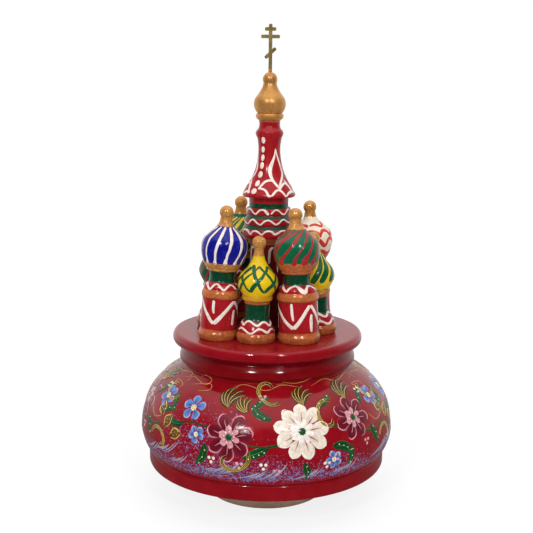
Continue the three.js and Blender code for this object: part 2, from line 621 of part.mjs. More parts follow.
function governorFrame() {
  const foot = bedTop + fit;
  const plateTop = governorZ + 2.6;
  const back = frameBack;
  const parts = [
    block(midPlateX, outPlateEnd, governorY - 3, back, foot, foot + 1.4),
    block(midPlateX, midPlateX + framePlate, -2.6, governorY + 2.4, foot, plateTop),
    block(outPlateX, outPlateEnd, governorY - 2.4, governorY + 2.4, foot, plateTop),
    block(midPlateX + 0.4, outPlateEnd - 0.4, back - 1.3, back, foot, armBottom + 1.3),
    block(midPlateX + 1.2, outPlateEnd - 1.2, wormY - 1.6, back, armBottom, armBottom + 1.3),
  ];
  const holes = [
    layOver(rod(boreR(arborR, run, 16), midPlateX - 1, midPlateX + framePlate + 1), 0, axisZ),
    layOver(rod(boreR(pivotR, run, 12), midPlateX - 1, outPlateEnd + 1, 12), governorY, governorZ),
    rod(boreR(pivotR, run, 12), foot + 0.4, foot + 3, 12).translate(wormX, wormY, 0),
    rod(boreR(pivotR, run, 12), armBottom - 1, armBottom + 0.9, 12).translate(wormX, wormY, 0),
  ];
  add('governor_frame', cut(join(...parts), ...holes), zinc);
}

function comb() {
  const slot = 0.36 * notePitch;
  const points = [new THREE.Vector2(combX0, combBack), new THREE.Vector2(combX1, combBack)];
  for (let i = notes - 1; i >= 0; i--) {
    const left = combX0 + i * notePitch + slot / 2;
    const right = combX0 + (i + 1) * notePitch - slot / 2;
    const root = combRoot - 1.5 * (notes - i) / notes;
    points.push(new THREE.Vector2(right, root), new THREE.Vector2(right, combTip),
      new THREE.Vector2(left, combTip), new THREE.Vector2(left, root));
  }
  const holes = combScrewX.map((x) => rod(boreR(0.8, fit, 10), combZ - 1, combZ + 3, 10).translate(x, combScrewY, 0));
  add('comb', cut(slab(new THREE.Shape(points), combZ, combThick), ...holes), steel);
  for (const [i, x] of combScrewX.entries()) {
    add(`comb_screw_${i + 1}`, screw(1.6, 1, 0.8, combThick + 3.4), brass, x, combScrewY, combZ + combThick + fit);
  }
}

function movementScrewSet() {
  for (const [i, [x, y]] of movementScrews.entries()) {
    add(`movement_screw_${i + 1}`, screw(2.4, 1.4, 1.1, bedTop - boxBottom - 2.6).rotateX(Math.PI), steel,
      x, y, boxBottom + 2.35);
  }
}

// Movement, the pieces that turn

// Pin places step round by the golden angle, so no two notes line up
function pinnedCylinder() {
  const x0 = cylinderX;
  const x1 = cylinderX + cylinderLength;
  const bore = boreR(arborR, fit, 24);
  const shell = turnedRing([[bore, x0], [cylinderR, x0], [cylinderR, x1], [cylinderR - 0.9, x1],
    [cylinderR - 0.9, x0 + 1.5], [bore, x0 + 1.5]], 24);
  const half = 0.18 * notePitch;
  const pins = [];
  for (let note = 0; note < notes; note++) {
    for (let k = 0; k < pinsPerNote; k++) {
      const angle = 2.399963 * (note * pinsPerNote + k);
      pins.push(block(cylinderR - 0.35, cylinderR + pinRise, -half, half, -half, half)
        .rotateZ(angle).translate(0, 0, combX0 + (note + 0.5) * notePitch));
    }
  }
  add('pinned_cylinder', layOver(join(shell, ...pins), 0, axisZ), brass);
  add('cylinder_arbor', layOver(rod(arborR, wheelR - toothFace - 0.2, midPlateX + framePlate + 0.2), 0, axisZ), steel);
}

// Angle of the line from the cylinder to the governor wheel, in the flat outline before it is laid over
const towardGovernor = Math.PI / 2 + governorLean;

function cylinderWheels() {
  const bore = (from, to) => rod(boreR(arborR, fit, 16), from, to);
  const pinionX = drivePitchR - toothFace / 2 + 0.1;
  const pinion = slab(toothed(pinionTeeth, pinionR, toothTip, toothRoot, 0.22, 0.6), pinionX, toothFace - 0.2);
  add('cylinder_pinion', layOver(cut(pinion, bore(pinionX - 1, pinionX + 4)), 0, axisZ), brass);
  const gear = slab(toothed(cylinderTeeth, gearR, 0.9 * trainModule, 1.3 * trainModule, 0.24, 0.6),
    gearX, gearFace).rotateZ(towardGovernor + Math.PI / cylinderTeeth);
  add('cylinder_gear', layOver(cut(gear, bore(gearX - 1, gearX + 4)), 0, axisZ), brass);
}

function governorWheel() {
  const length = [gearX, outPlateEnd - 0.2];
  const pinion = slab(toothed(governorTeeth, governorR, 0.8 * trainModule, 1.3 * trainModule, 0.2, 0.5),
    gearX - 0.1, gearFace + 0.2).rotateZ(towardGovernor + Math.PI);
  const shaft = rod(pivotR, length[0], length[1], 12);
  add('governor_pinion', layOver(join(pinion, shaft), governorY, governorZ), steel);
  const wheel = slab(toothed(wormTeeth, wormWheelR, 0.7 * wormModule, 1.2 * wormModule, 0.16, 0.5),
    wormWheelX, wormWheelFace).rotateZ(Math.PI / 2 + Math.PI / wormTeeth);
  add('worm_wheel', layOver(cut(wheel, rod(boreR(pivotR, fit, 12), wormWheelX - 1, wormWheelX + 3, 12)),
    governorY, governorZ), nylon);
}

// Worm with one right-hand thread: its radius rises and falls along the helix
function worm() {
  const around = 10;
  const perPitch = 6;
  const turns = 4;
  const rows = turns * perPitch;
  const core = 0.8;
  const crest = 0.62;
  const z0 = governorZ - turns * wormPitch / 2;
  const rings = [];
  const radiusAt = (angle, z) => {
    let s = (z - governorZ) / wormPitch - (angle + Math.PI / 2) / (2 * Math.PI);
    s = Math.abs(s - Math.round(s));
    return core + crest * THREE.MathUtils.clamp((0.3 - s) / 0.18, 0, 1);
  };
  for (let j = 0; j <= rows; j++) {
    const z = z0 + j * wormPitch / perPitch;
    rings.push(Array.from({ length: around }, (_, i) => {
      const angle = 2 * Math.PI * i / around;
      const r = radiusAt(angle, z);
      return new THREE.Vector3(wormX + r * Math.cos(angle), wormY + r * Math.sin(angle), z);
    }));
  }
  const foot = bedTop + fit + 0.4;
  const spindle = rod(pivotR, foot + 0.1, armBottom + 0.8, 12).translate(wormX, wormY, 0);
  add('worm', join(skin(rings), spindle), steel);
}

// Closed body through a stack of rings with equal counts of points
function skin(rings) {
  const n = rings[0].length;
  const points = rings.flat();
  const index = [];
  for (let j = 0; j + 1 < rings.length; j++) {
    for (let i = 0; i < n; i++) {
      const [a, b] = [j * n + i, j * n + (i + 1) % n];
      index.push(a, b, b + n, a, b + n, a + n);
    }
  }
  const last = (rings.length - 1) * n;
  const [low, high] = [points.length, points.length + 1];
  points.push(middle(rings[0]), middle(rings[rings.length - 1]));
  for (let i = 0; i < n; i++) {
    index.push(low, (i + 1) % n, i, high, last + i, last + (i + 1) % n);
  }
  const out = new THREE.BufferGeometry().setFromPoints(points);
  out.setIndex(index);
  return out;
}

const middle = (ring) => ring.reduce((sum, p) => sum.add(p), new THREE.Vector3()).divideScalar(ring.length);

function airBrake() {
  const hub = rod(1.1, fanBottom, fanBottom + fanHeight, 12);
  const blade = block(-fanR, fanR, -0.25, 0.25, fanBottom, fanBottom + fanHeight);
  const bore = rod(boreR(pivotR, fit, 12), fanBottom - 1, fanBottom + fanHeight + 1, 12);
  add('air_brake', cut(join(hub, blade), bore).translate(wormX, wormY, 0), nylon);
}

stand();
greatWheel();
baseBoard();
belly();
boardScrews();
topPlate();
towers.forEach(tower);
centralColumn();
tierDrum();
tentSpire();
gildedDome();
finialCross();
bedplate();
springHousing();
mainspring();
cylinderBearing();
governorFrame();
comb();
movementScrewSet();
pinnedCylinder();
cylinderWheels();
governorWheel();
worm();
airBrake();

export default musicBox;
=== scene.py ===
import math

import bmesh
import bpy
import numpy as np
from mathutils import Matrix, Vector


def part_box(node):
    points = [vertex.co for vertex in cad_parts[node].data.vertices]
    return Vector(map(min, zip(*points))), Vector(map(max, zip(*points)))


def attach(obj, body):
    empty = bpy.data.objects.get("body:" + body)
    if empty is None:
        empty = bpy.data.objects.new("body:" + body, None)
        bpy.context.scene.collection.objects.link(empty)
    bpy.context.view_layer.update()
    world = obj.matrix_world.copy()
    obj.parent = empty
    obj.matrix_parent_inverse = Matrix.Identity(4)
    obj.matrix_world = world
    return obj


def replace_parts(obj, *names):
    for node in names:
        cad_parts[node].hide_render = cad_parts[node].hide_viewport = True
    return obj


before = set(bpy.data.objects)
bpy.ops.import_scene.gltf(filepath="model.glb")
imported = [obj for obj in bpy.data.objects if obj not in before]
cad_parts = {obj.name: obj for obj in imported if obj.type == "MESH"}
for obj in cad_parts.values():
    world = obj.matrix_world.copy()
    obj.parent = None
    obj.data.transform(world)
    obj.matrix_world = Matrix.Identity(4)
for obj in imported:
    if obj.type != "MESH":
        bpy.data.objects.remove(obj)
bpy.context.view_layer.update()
mm = 0.001
fit = 0.05                                # between pieces that are glued or screwed together
rng = np.random.default_rng(7)


# Places read from the frame, in millimetres

def low(node, axis=2):
    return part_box(node)[0][axis] / mm


def high(node, axis=2):
    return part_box(node)[1][axis] / mm


deckHeight = high("top_plate")
boxBottom = low("base_board")
bellyBottom = low("belly_shell")
drumBottom = low("tier_drum")
tentBottom = high("tier_drum") + fit
domeBottom = high("tent_spire") + fit
print("frame read, deck at %.2f mm" % deckHeight)


# Surfaces

# The cubic from b to c that its neighbours a and d bend, with t from 0 to 1:
# 0.5 (2 b + (c - a) t + (2 a - 5 b + 4 c - d) t^2 + (3 b - a - 3 c + d) t^3)
def bentSpan(a, b, c, d, t):
    return 0.5 * (2 * b + (c - a) * t + (2 * a - 5 * b + 4 * c - d) * t ** 2 + (3 * b - a - 3 * c + d) * t ** 3)


# The points with one more at each end, so that the first and the last span have neighbours too
def lengthened(points):
    p = np.array(points, float)
    return np.vstack([2 * p[0] - p[1], p, 2 * p[-1] - p[-2]])


# A smooth curve through the points, in equal steps from each to the next
def curveThrough(points, step):
    p = lengthened(points)
    out = []
    for a, b, c, d in zip(p, p[1:], p[2:], p[3:]):
        count = max(2, int(math.ceil(np.hypot(*(c - b)) / step)))
        out.append(bentSpan(a, b, c, d, (np.arange(count) / count)[:, None]))
    return np.vstack(out + [p[-2:-1]])


# Straight spans between the points, each cut into equal steps
def straightThrough(points, step):
    p = np.array(points, float)
    out = []
    for a, b in zip(p, p[1:]):
        count = max(1, int(math.ceil(np.hypot(*(b - a)) / step)))
        out.append(a + (b - a) * (np.arange(count) / count)[:, None])
    return np.vstack(out + [p[-1:]])


# Points of the ball on a dome, as [radius, height]: the angle runs from start to end degrees round its centre
def ballPoints(centreZ, radius, start, end, count=10):
    t = np.radians(np.linspace(start, end, count))
    return np.stack([radius * np.cos(t), centreZ + radius * np.sin(t)], 1).tolist()


# Profile of a turned piece: runs of [paint, "line" or "curve", points], each starting where the last one ends.
# Gives radius, height and length along the outline for each row, and the paint between rows.
def turnedProfile(start, runs, step=0.3):
    rows, paints, last = [np.array([start], float)], [], list(start)
    for paint, kind, points in runs:
        make = curveThrough if kind == "curve" else straightThrough
        part = make([last] + [list(q) for q in points], step)[1:]
        rows.append(part)
        paints += [paint] * len(part)
        last = list(points[-1])
    rz = np.vstack(rows)
    length = np.concatenate([[0], np.cumsum(np.hypot(*np.diff(rz, axis=0).T))])
    slope = np.gradient(rz, length, axis=0)
    slope /= np.maximum(np.hypot(slope[:, 0], slope[:, 1]), 1e-9)[:, None]
    return {"r": rz[:, 0], "z": rz[:, 1], "s": length, "normalR": slope[:, 1], "normalZ": -slope[:, 0],
            "paints": paints}


# Point on a turned surface: angle u, length v along the outline, lifted along the outline's normal
def onSurface(profile, u, v, lift=0.0):
    r = np.interp(v, profile["s"], profile["r"]) + lift * np.interp(v, profile["s"], profile["normalR"])
    z = np.interp(v, profile["s"], profile["z"]) + lift * np.interp(v, profile["s"], profile["normalZ"])
    return np.stack([r * np.cos(u), r * np.sin(u), z], -1)


# Length along the outline at a height, on the stretch that climbs from the height called above
def lengthAt(profile, height, above=-math.inf):
    keep = profile["z"] >= above
    z = np.maximum.accumulate(profile["z"][keep])
    return np.interp(height, z + np.arange(len(z)) * 1e-9, profile["s"][keep])


# Chunks of points and faces as one set of both
def joined(chunks):
    starts = np.cumsum([0] + [len(chunk[0]) for chunk in chunks]).tolist()
    faces = [[i + start for i in face] for start, chunk in zip(starts, chunks) for face in chunk[1]]
    return np.vstack([chunk[0] for chunk in chunks]), faces


def newMesh(name, points, faces):
    mesh = bpy.data.meshes.new(name)
    mesh.from_pydata((np.asarray(points) * mm).tolist(), [], faces)
    return mesh


def newObject(name, data):
    thing = bpy.data.objects.new(name, data)
    bpy.context.scene.collection.objects.link(thing)
    return thing


def newPiece(name, points, faces, materials, faceSlots=None, body="box"):
    mesh = newMesh(name, points, faces)
    for material in materials:
        mesh.materials.append(material)
    if faceSlots is not None:
        mesh.polygons.foreach_set("material_index", np.asarray(faceSlots, np.int32))
    mesh.polygons.foreach_set("use_smooth", np.ones(len(mesh.polygons), bool))
    mesh.validate()
    mesh.update()
    piece = newObject(name, mesh)
    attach(piece, body)
    return piece


# A paint edge wanders by a sum of three sine waves in the angle, and the surface within reach moves along
edgeWander = {"waves": ((3, 1), (7, 0.7), (13, 0.5)), "reach": 0.9}


# Turned solid: every row of the profile swept round, its paint edges wandering up and down as a brush does
def turnedPiece(name, profile, materials, columns=128, wander=0.1, place=None, closedRing=False, body="box"):
    names = list(dict.fromkeys(profile["paints"]))
    slots = np.array([names.index(p) for p in profile["paints"]])
    edges = np.flatnonzero(np.diff(slots)) + 1
    near = np.zeros(len(profile["s"]))
    if len(edges):
        away = np.abs(profile["s"][:, None] - profile["s"][edges][None, :]).min(1)
        near = np.clip(1 - away / edgeWander["reach"], 0, 1)
    u = np.arange(columns) * 2 * np.pi / columns
    phase = rng.uniform(0, 2 * np.pi, 3)
    waves = edgeWander["waves"]
    wave = sum(part * np.sin(count * u + p) for (count, part), p in zip(waves, phase))
    wave /= sum(part for count, part in waves)
    v = profile["s"][:, None] + wander * near[:, None] * wave[None, :]
    points = onSurface(profile, u[None, :] + 0 * v, v)
    rows = len(points)
    if closedRing:                                 # the outline comes back to its first row
        points = points[:-1].reshape(-1, 3)
        lower = np.arange(len(points)).reshape(rows - 1, columns)
        upper = np.roll(lower, -1, 0)
        slots = np.repeat(slots, columns)
    else:                                          # the outline starts and ends on the axis, at a pole
        first, last = profile["z"][0], profile["z"][-1]
        points = np.vstack([points[1:-1].reshape(-1, 3), [[0, 0, first], [0, 0, last]]])
        grid = np.arange((rows - 2) * columns).reshape(rows - 2, columns)
        lower, upper = grid[:-1], grid[1:]
        slots = np.concatenate([np.repeat(slots[1:-1], columns), np.repeat(slots[[0, -1]], columns)])
    faces = np.stack([lower, np.roll(lower, -1, 1), np.roll(upper, -1, 1), upper], -1).reshape(-1, 4).tolist()
    if not closedRing:
        pole = np.full(columns, len(points) - 2)
        faces += np.stack([pole, np.roll(grid[0], -1), grid[0]], 1).tolist()
        faces += np.stack([pole + 1, grid[-1], np.roll(grid[-1], -1)], 1).tolist()
    if place is not None:
        points = place(points)
    return newPiece(name, points, faces, [materials[n] for n in names], slots, body)


# Section of a brush stroke: its top from side to side, then its underside, each a share of the half width
ribbon = {"across": np.array([-1, -0.8, -0.45, 0, 0.45, 0.8, 1, 0.5, -0.5]), "top": 7, "rim": 0.03,
          "under": -0.16}
leastWidth = 0.05
leastRadius = 0.3


# One brush stroke on a turned surface: a domed ribbon along the path (u, v), its width given point by point.
# Across the ribbon the paint stands lift * (1 - |t|^3) proud, and its underside is sunk in the surface.
def brushStroke(profile, u, v, width, lift=0.11):
    u, v, width = np.broadcast_arrays(np.asarray(u, float), np.asarray(v, float), np.asarray(width, float))
    r = np.maximum(np.interp(v, profile["s"], profile["r"]), leastRadius)
    du, dv = np.gradient(u) * r, np.gradient(v)
    size = np.maximum(np.hypot(du, dv), 1e-9)
    across, m = ribbon["across"], len(ribbon["across"])
    dome = lift * (1 - np.abs(across) ** 3) - ribbon["rim"]
    rise = np.where(np.arange(m) < ribbon["top"], dome, ribbon["under"])
    offU = (-dv / size)[:, None] * across * width[:, None] / 2 / r[:, None]
    offV = (du / size)[:, None] * across * width[:, None] / 2
    points = onSurface(profile, u[:, None] + offU, v[:, None] + offV, rise[None, :] + 0 * offU)
    n = len(u)
    grid = np.arange(n)[:, None] * m + np.arange(m)[None, :]
    turned = np.roll(grid, -1, 1)
    quads = np.stack([grid[:-1], grid[1:], turned[1:], turned[:-1]], -1).reshape(-1, 4)
    return points.reshape(-1, 3), quads.tolist() + [list(range(m)), list(range((n - 1) * m, n * m))[::-1]]


# Round drop of paint, stretched along the outline: a sunk rim, a rim at the surface, a ring on its shoulder
# (each a share of the radius and a rise) and the crown
def paintDot(profile, u, v, radius, stretch=1.0, lift=0.13, sides=10):
    t = np.arange(sides) * 2 * np.pi / sides
    r = max(float(np.interp(v, profile["s"], profile["r"])), leastRadius)
    parts = []
    for share, rise in ((1, -0.12), (1, -0.02), (0.65, 0.7 * lift)):
        ringU, ringV = u + share * radius * np.cos(t) / r, v + share * stretch * radius * np.sin(t)
        parts.append(onSurface(profile, ringU, ringV, np.full(sides, rise)))
    points = np.vstack(parts + [onSurface(profile, np.array([u]), np.array([v]), np.array([lift]))])
    ring = np.arange(sides)
    turn = np.roll(ring, -1)
    faces = np.stack([ring, turn, turn + sides, ring + sides], 1).tolist()
    faces += np.stack([ring + sides, turn + sides, turn + 2 * sides, ring + 2 * sides], 1).tolist()
    faces += np.stack([ring + 2 * sides, turn + 2 * sides, np.full(sides, 3 * sides)], 1).tolist()
    return points, faces + [ring[::-1].tolist()]


class Strokes:
    def __init__(self, profile, place=None, slot="painted_wood"):
        self.profile, self.place, self.slot, self.parts = profile, place, slot, {}

    def add(self, paint, chunk):
        self.parts.setdefault(paint, []).append(chunk)

    def line(self, paint, u, height, width, above):
        self.add(paint, brushStroke(self.profile, np.radians(u), lengthAt(self.profile, height, above), width))

    # A stroke through [angle, height, width] points, bent as bentSpan says, with blunt round ends
    def path(self, paint, points, above=-math.inf, lift=0.11, count=44):
        p = lengthened(points)
        at = np.linspace(0, len(points) - 1, count)
        i = np.minimum(at.astype(int), len(points) - 2)
        u, height, width = bentSpan(p[i], p[i + 1], p[i + 2], p[i + 3], (at - i)[:, None]).T
        v = lengthAt(self.profile, height, above)
        u, r = np.radians(u), np.interp(v, self.profile["s"], self.profile["r"])
        run = np.concatenate([[0], np.cumsum(np.hypot(np.diff(u) * r[1:], np.diff(v)))])
        end = np.minimum(run, run[-1] - run) / (0.5 * width)
        width = np.maximum(width * np.sqrt(1 - np.clip(1 - end, 0, 1) ** 2), leastWidth)
        self.add(paint, brushStroke(self.profile, u, v, width, lift))

    def dot(self, paint, u, height, radius, stretch, above):
        v = float(lengthAt(self.profile, height, above))
        self.add(paint, paintDot(self.profile, math.radians(u), v, radius, stretch, sides=14))

    def finish(self, name):
        for paint, chunks in self.parts.items():
            points, faces = joined(chunks)
            if self.place is not None:
                points = self.place(points)
            newPiece(name + paint[0].upper() + paint[1:], points, faces, [paints[paint]])


# Paints and finishes

# Sets a node's sockets: an output of another node is linked in, and a plain value is written on the socket
def feed(tree, node, sockets):
    for key, value in sockets.items():
        if isinstance(value, bpy.types.NodeSocket):
            tree.links.new(value, node.inputs[key])
        else:
            node.inputs[key].default_value = value


# Adds a node and gives the output that the next one takes
def add(tree, kind, sockets=None, out=0, **settings):
    node = tree.nodes.new("ShaderNode" + kind)
    for key, value in settings.items():
        setattr(node, key, value)
    feed(tree, node, sockets or {})
    return node.outputs[out]


def arithmetic(tree, operation, *values):
    return add(tree, "Math", dict(enumerate(values)), operation=operation)


# A value that climbs from start to end gives lowest to highest, and stays there beyond them
def spread(tree, value, start, end, lowest=0.0, highest=1.0, kind="LINEAR"):
    return add(tree, "MapRange", {"Value": value, "From Min": start, "From Max": end, "To Min": lowest,
                                  "To Max": highest}, interpolation_type=kind)


def noise(tree, place, scale, detail, roughness=0.5):
    return add(tree, "TexNoise", {"Vector": place, "Scale": scale, "Detail": detail, "Roughness": roughness})


def shades(tree, value, start, dark, end, light):
    ramp = add(tree, "ValToRGB", {"Fac": value})
    ends = ramp.node.color_ramp.elements
    ends[0].position, ends[1].position = start, end
    ends[0].color, ends[1].color = (*dark, 1), (*light, 1)
    return ramp


def coated(tree, cover, under, color):
    return add(tree, "Mix", {"Factor": cover, 6: under, 7: (*color, 1)}, 2, data_type="RGBA")


def relief(tree, height, strength, distance, sockets=None):
    return add(tree, "Bump", {"Height": height, "Strength": strength, "Distance": distance, **(sockets or {})})


def newMaterial(name):
    material = bpy.data.materials.new(name)
    material.use_nodes = True
    tree = material.node_tree
    return material, tree, tree.nodes["Principled BSDF"]


def objectPlace(tree):
    return add(tree, "TexCoord", out="Object")


# A hand-brushed enamel: the colour drifts with broad noise and fine turning lines, patches of other shades
# (noise scale, most cover, colour) lie in it, and the film has shallow brush marks and grain under its gloss.
# Colours are linear.
def enamel(name, color, roughness=0.16, drift=0.14, brush=0.12, metal=0.0, patches=(), ior=1.46):
    material, tree, shader = newMaterial(name)
    place = objectPlace(tree)
    broad = noise(tree, place, 190, 4)
    turning = add(tree, "Mapping", {"Vector": place, "Scale": (60, 60, 2600)})       # long round, fine upwards
    level = arithmetic(tree, "MULTIPLY_ADD", noise(tree, turning, 1, 3), 0.35, broad)
    tint = shades(tree, level, 0.45, [c * (1 - drift) for c in color],
                  0.9, [min(1, c * (1 + drift) + 0.004 * drift) for c in color])
    for scale, cover, other in patches:
        tint = coated(tree, spread(tree, noise(tree, place, scale, 3), 0.5, 0.68, 0, cover), tint, other)
    gloss = spread(tree, broad, 0, 1, max(0.04, roughness - 0.05), roughness + 0.1)
    marks = relief(tree, level, brush, 0.0002)
    grain = relief(tree, noise(tree, place, 1700, 2), 0.5 * brush, 0.0001, {"Normal": marks})
    feed(tree, shader, {"Base Color": tint, "Roughness": gloss, "Metallic": metal, "IOR": ior, "Normal": grain})
    return material


paints = {
    "red": enamel("redEnamel", (0.32, 0.006, 0.010), patches=[(500, 0.4, (0.43, 0.016, 0.024))]),
    "lacquer": enamel("redLacquer", (0.245, 0.003, 0.008), 0.09, 0.1, 0.06),
    "maroon": enamel("maroonEnamel", (0.15, 0.006, 0.008), patches=[(500, 0.5, (0.24, 0.01, 0.014))]),
    "rust": enamel("rustPaint", (0.42, 0.10, 0.030), 0.2, 0.25, 0.25, 0.1,
                   [(500, 0.5, (0.30, 0.05, 0.017)), (1000, 0.5, (0.64, 0.27, 0.07))]),
    "ochre": enamel("ochrePaint", (0.47, 0.13, 0.036), 0.2, 0.25, 0.25, 0.15,
                    [(500, 0.5, (0.33, 0.06, 0.02)), (1100, 0.5, (0.62, 0.27, 0.08))]),
    "gold": enamel("goldPaint", (0.54, 0.235, 0.055), 0.2, 0.22, 0.35, 0.25,
                   [(420, 0.6, (0.33, 0.105, 0.02)), (1300, 0.6, (0.80, 0.50, 0.17))]),
    "gilt": enamel("giltPaint", (0.62, 0.29, 0.08), 0.33, 0.2, 0.3, 0.5,
                   [(340, 0.45, (0.42, 0.165, 0.035)), (1300, 0.3, (0.74, 0.44, 0.15))]),
    "green": enamel("greenEnamel", (0.003, 0.046, 0.019), patches=[(600, 0.5, (0.008, 0.085, 0.036))]),
    "leafGreen": enamel("leafGreenEnamel", (0.003, 0.10, 0.042), patches=[(500, 0.4, (0.009, 0.145, 0.058))]),
    "darkGreen": enamel("darkGreenEnamel", (0.004, 0.085, 0.024), patches=[(900, 0.4, (0.008, 0.15, 0.05))]),
    "blue": enamel("ultramarineEnamel", (0.003, 0.005, 0.20), brush=0.2,
                   patches=[(560, 0.55, (0.01, 0.024, 0.33))]),
    "yellow": enamel("yellowEnamel", (0.72, 0.475, 0.007), drift=0.1,
                     patches=[(600, 0.35, (0.58, 0.33, 0.006))]),
    "amber": enamel("amberEnamel", (0.50, 0.235, 0.008), 0.18, 0.22, 0.2, 0, [(1500, 0.5, (0.70, 0.41, 0.04))]),
    "white": enamel("whiteStroke", (0.82, 0.71, 0.63), 0.2, 0.05, 0.25, 0, [(700, 0.6, (0.62, 0.43, 0.40))]),
    "cream": enamel("creamEnamel", (0.76, 0.66, 0.53), 0.2, 0.08, 0.12, 0, [(500, 0.4, (0.62, 0.50, 0.40))]),
    "scarlet": enamel("scarletStroke", (0.54, 0.03, 0.022), patches=[(900, 0.4, (0.66, 0.12, 0.06))]),
    "stripeRed": enamel("stripeRed", (0.33, 0.018, 0.022)),
}


# The deck's lacquer lies over turning rings about 1.3 mm apart round the Z axis
def ringedLacquer():
    material = enamel("deckLacquer", (0.245, 0.004, 0.009), 0.14, 0.1, 0.06, 0,
                      [(170, 0.35, (0.29, 0.012, 0.018))], 1.37)
    tree = material.node_tree
    shader = tree.nodes["Principled BSDF"]
    pattern = {"Vector": objectPlace(tree), "Scale": 240, "Distortion": 2.4, "Detail Scale": 0.2}
    rings = add(tree, "TexWave", pattern, "Fac", wave_type="RINGS", rings_direction="Z")
    film = shader.inputs["Normal"].links[0].from_socket
    feed(tree, shader, {"Normal": relief(tree, rings, 0.4, 0.0001, {"Normal": film})})
    return material


# Bare wood: long fibres along X, with rings from a warped wave and fine dark pores. Colours are linear.
def bareWood(name, light, dark):
    material, tree, shader = newMaterial(name)
    fibres = add(tree, "Mapping", {"Vector": objectPlace(tree), "Scale": (18, 160, 160)})
    rings = add(tree, "TexWave", {"Vector": fibres, "Scale": 0.7, "Distortion": 5, "Detail": 3}, "Fac")
    pores = noise(tree, fibres, 14, 5)
    level = arithmetic(tree, "MULTIPLY_ADD", rings, 0.4, pores)
    feed(tree, shader, {"Base Color": shades(tree, level, 0.35, dark, 0.95, light), "Roughness": 0.62,
                        "Normal": relief(tree, pores, 0.35, 0.0002)})
    return material


# Bare metal or moulded plastic: a fine machined grain that varies the colour and the gloss
def bareMetal(name, light, dark, roughness, metal=1.0):
    material, tree, shader = newMaterial(name)
    grain = noise(tree, objectPlace(tree), 420, 5)
    feed(tree, shader, {"Base Color": shades(tree, grain, 0.3, dark, 0.7, light), "Metallic": metal,
                        "Roughness": spread(tree, grain, 0, 1, roughness - 0.08, roughness + 0.12),
                        "Normal": relief(tree, grain, 0.15, 0.0001)})
    return material


# Oil paint that takes its colour from the stroke's own "paint" attribute, thinned and thickened by noise
def oilMaterial():
    material, tree, shader = newMaterial("garlandOil")
    grain = noise(tree, objectPlace(tree), 900, 4)
    own = add(tree, "Attribute", out="Color", attribute_name="paint")
    cover = spread(tree, grain, 0.3, 0.7, 0.8, 1.12)
    tint = add(tree, "VectorMath", {0: own, "Scale": cover}, operation="SCALE")
    feed(tree, shader, {"Base Color": tint, "Roughness": 0.18, "Normal": relief(tree, grain, 0.25, 0.0002)})
    return material


# Specks on the bowl: noise scale, colour, and how far the "spatter" attribute lowers the level they must pass
specks = {"colors": ((1500, (0.11, 0.08, 0.25), 0.30), (900, (0.12, 0.19, 0.46), 0.24),
                     (1900, (0.30, 0.30, 0.46), 0.21)),
          "level": 0.74, "edge": 0.035, "cover": 0.85, "least": 0.07}


# The bowl's red under fine blue and pale specks, as thick as the "spatter" attribute says: a speck shows where
# noise passes level - reach * spatter
def spatteredLacquer():
    material = enamel("bowlLacquer", (0.245, 0.003, 0.008), 0.08, 0.12, 0.05)
    tree = material.node_tree
    shader = tree.nodes["Principled BSDF"]
    tint = shader.inputs["Base Color"].links[0].from_socket
    thick = add(tree, "Attribute", out="Fac", attribute_name="spatter")
    present = spread(tree, thick, 0, specks["least"])
    place = objectPlace(tree)
    for scale, color, reach in specks["colors"]:
        moved = add(tree, "Mapping", {"Vector": place, "Location": (scale * 0.01, 0.3, 0.7)})
        limit = arithmetic(tree, "MULTIPLY_ADD", thick, reach, -specks["level"])
        above = arithmetic(tree, "ADD", noise(tree, moved, scale, 1.5, 0.4), limit)
        edge = spread(tree, above, 0, specks["edge"], 0, specks["cover"])
        tint = coated(tree, arithmetic(tree, "MULTIPLY", edge, present), tint, color)
    feed(tree, shader, {"Base Color": tint})
    return material


deckLacquer = ringedLacquer()
# Painted shade: the neck's lacquer is a darker red that stands in for the deck's shadow over the neck, with a lower
# IOR for a dimmer reflection
neckShadeLacquer = enamel("neckShadeLacquer", (0.185, 0.002, 0.005), 0.09, 0.1, 0.06, ior=1.38)     # in the deck's shade
oilPaint = oilMaterial()
bowlLacquer = spatteredLacquer()
metals = {
    "antiqueBrass": bareMetal("antiqueBrass", (0.50, 0.37, 0.14), (0.33, 0.23, 0.08), 0.42),
    "brass": bareMetal("freshBrass", (0.72, 0.52, 0.2), (0.5, 0.34, 0.12), 0.25),
    "steel": bareMetal("brightSteel", (0.6, 0.61, 0.62), (0.42, 0.43, 0.45), 0.28),
    "zinc": bareMetal("castZinc", (0.45, 0.46, 0.48), (0.3, 0.31, 0.33), 0.45),
    "nylon": bareMetal("milkyNylon", (0.8, 0.78, 0.72), (0.72, 0.7, 0.63), 0.42, 0.0),
    "springSteel": bareMetal("blueSpringSteel", (0.16, 0.17, 0.22), (0.09, 0.1, 0.12), 0.3),
}
print("paints and metals mixed")


# Towers

# The same places round the deck as the pegs: angle, distance, leans inwards and sideways, girth, height share,
# and how far a short tower's dome is drawn in
towerSpots = {
    "tower_yellow": {"kind": "short", "angle": -102.75, "distance": 21.8, "lean": 3, "side": -0.95, "drawn": 1},
    "tower_green": {"kind": "tall", "angle": -57.8, "distance": 24.5, "lean": 4.2, "girth": 1.05},
    "tower_swirl": {"kind": "short", "angle": -11.8, "distance": 22.1, "lean": 3.8},
    "tower_white": {"kind": "tall", "angle": 36.9, "distance": 25.9, "lean": 3.5},
    "tower_rear": {"kind": "short", "angle": 79, "distance": 22.6, "lean": 3},
    "tower_olive": {"kind": "tall", "angle": 122, "distance": 26.1, "lean": 3, "height": 1.02},
    "tower_striped": {"kind": "short", "angle": 161.8, "distance": 24.5, "lean": 3.3},
    "tower_blue": {"kind": "tall", "angle": 218.6, "distance": 26.7, "lean": 5, "girth": 0.97, "height": 1.008},
}
usualSpot = {"side": 0, "girth": 1, "height": 1, "drawn": 0}
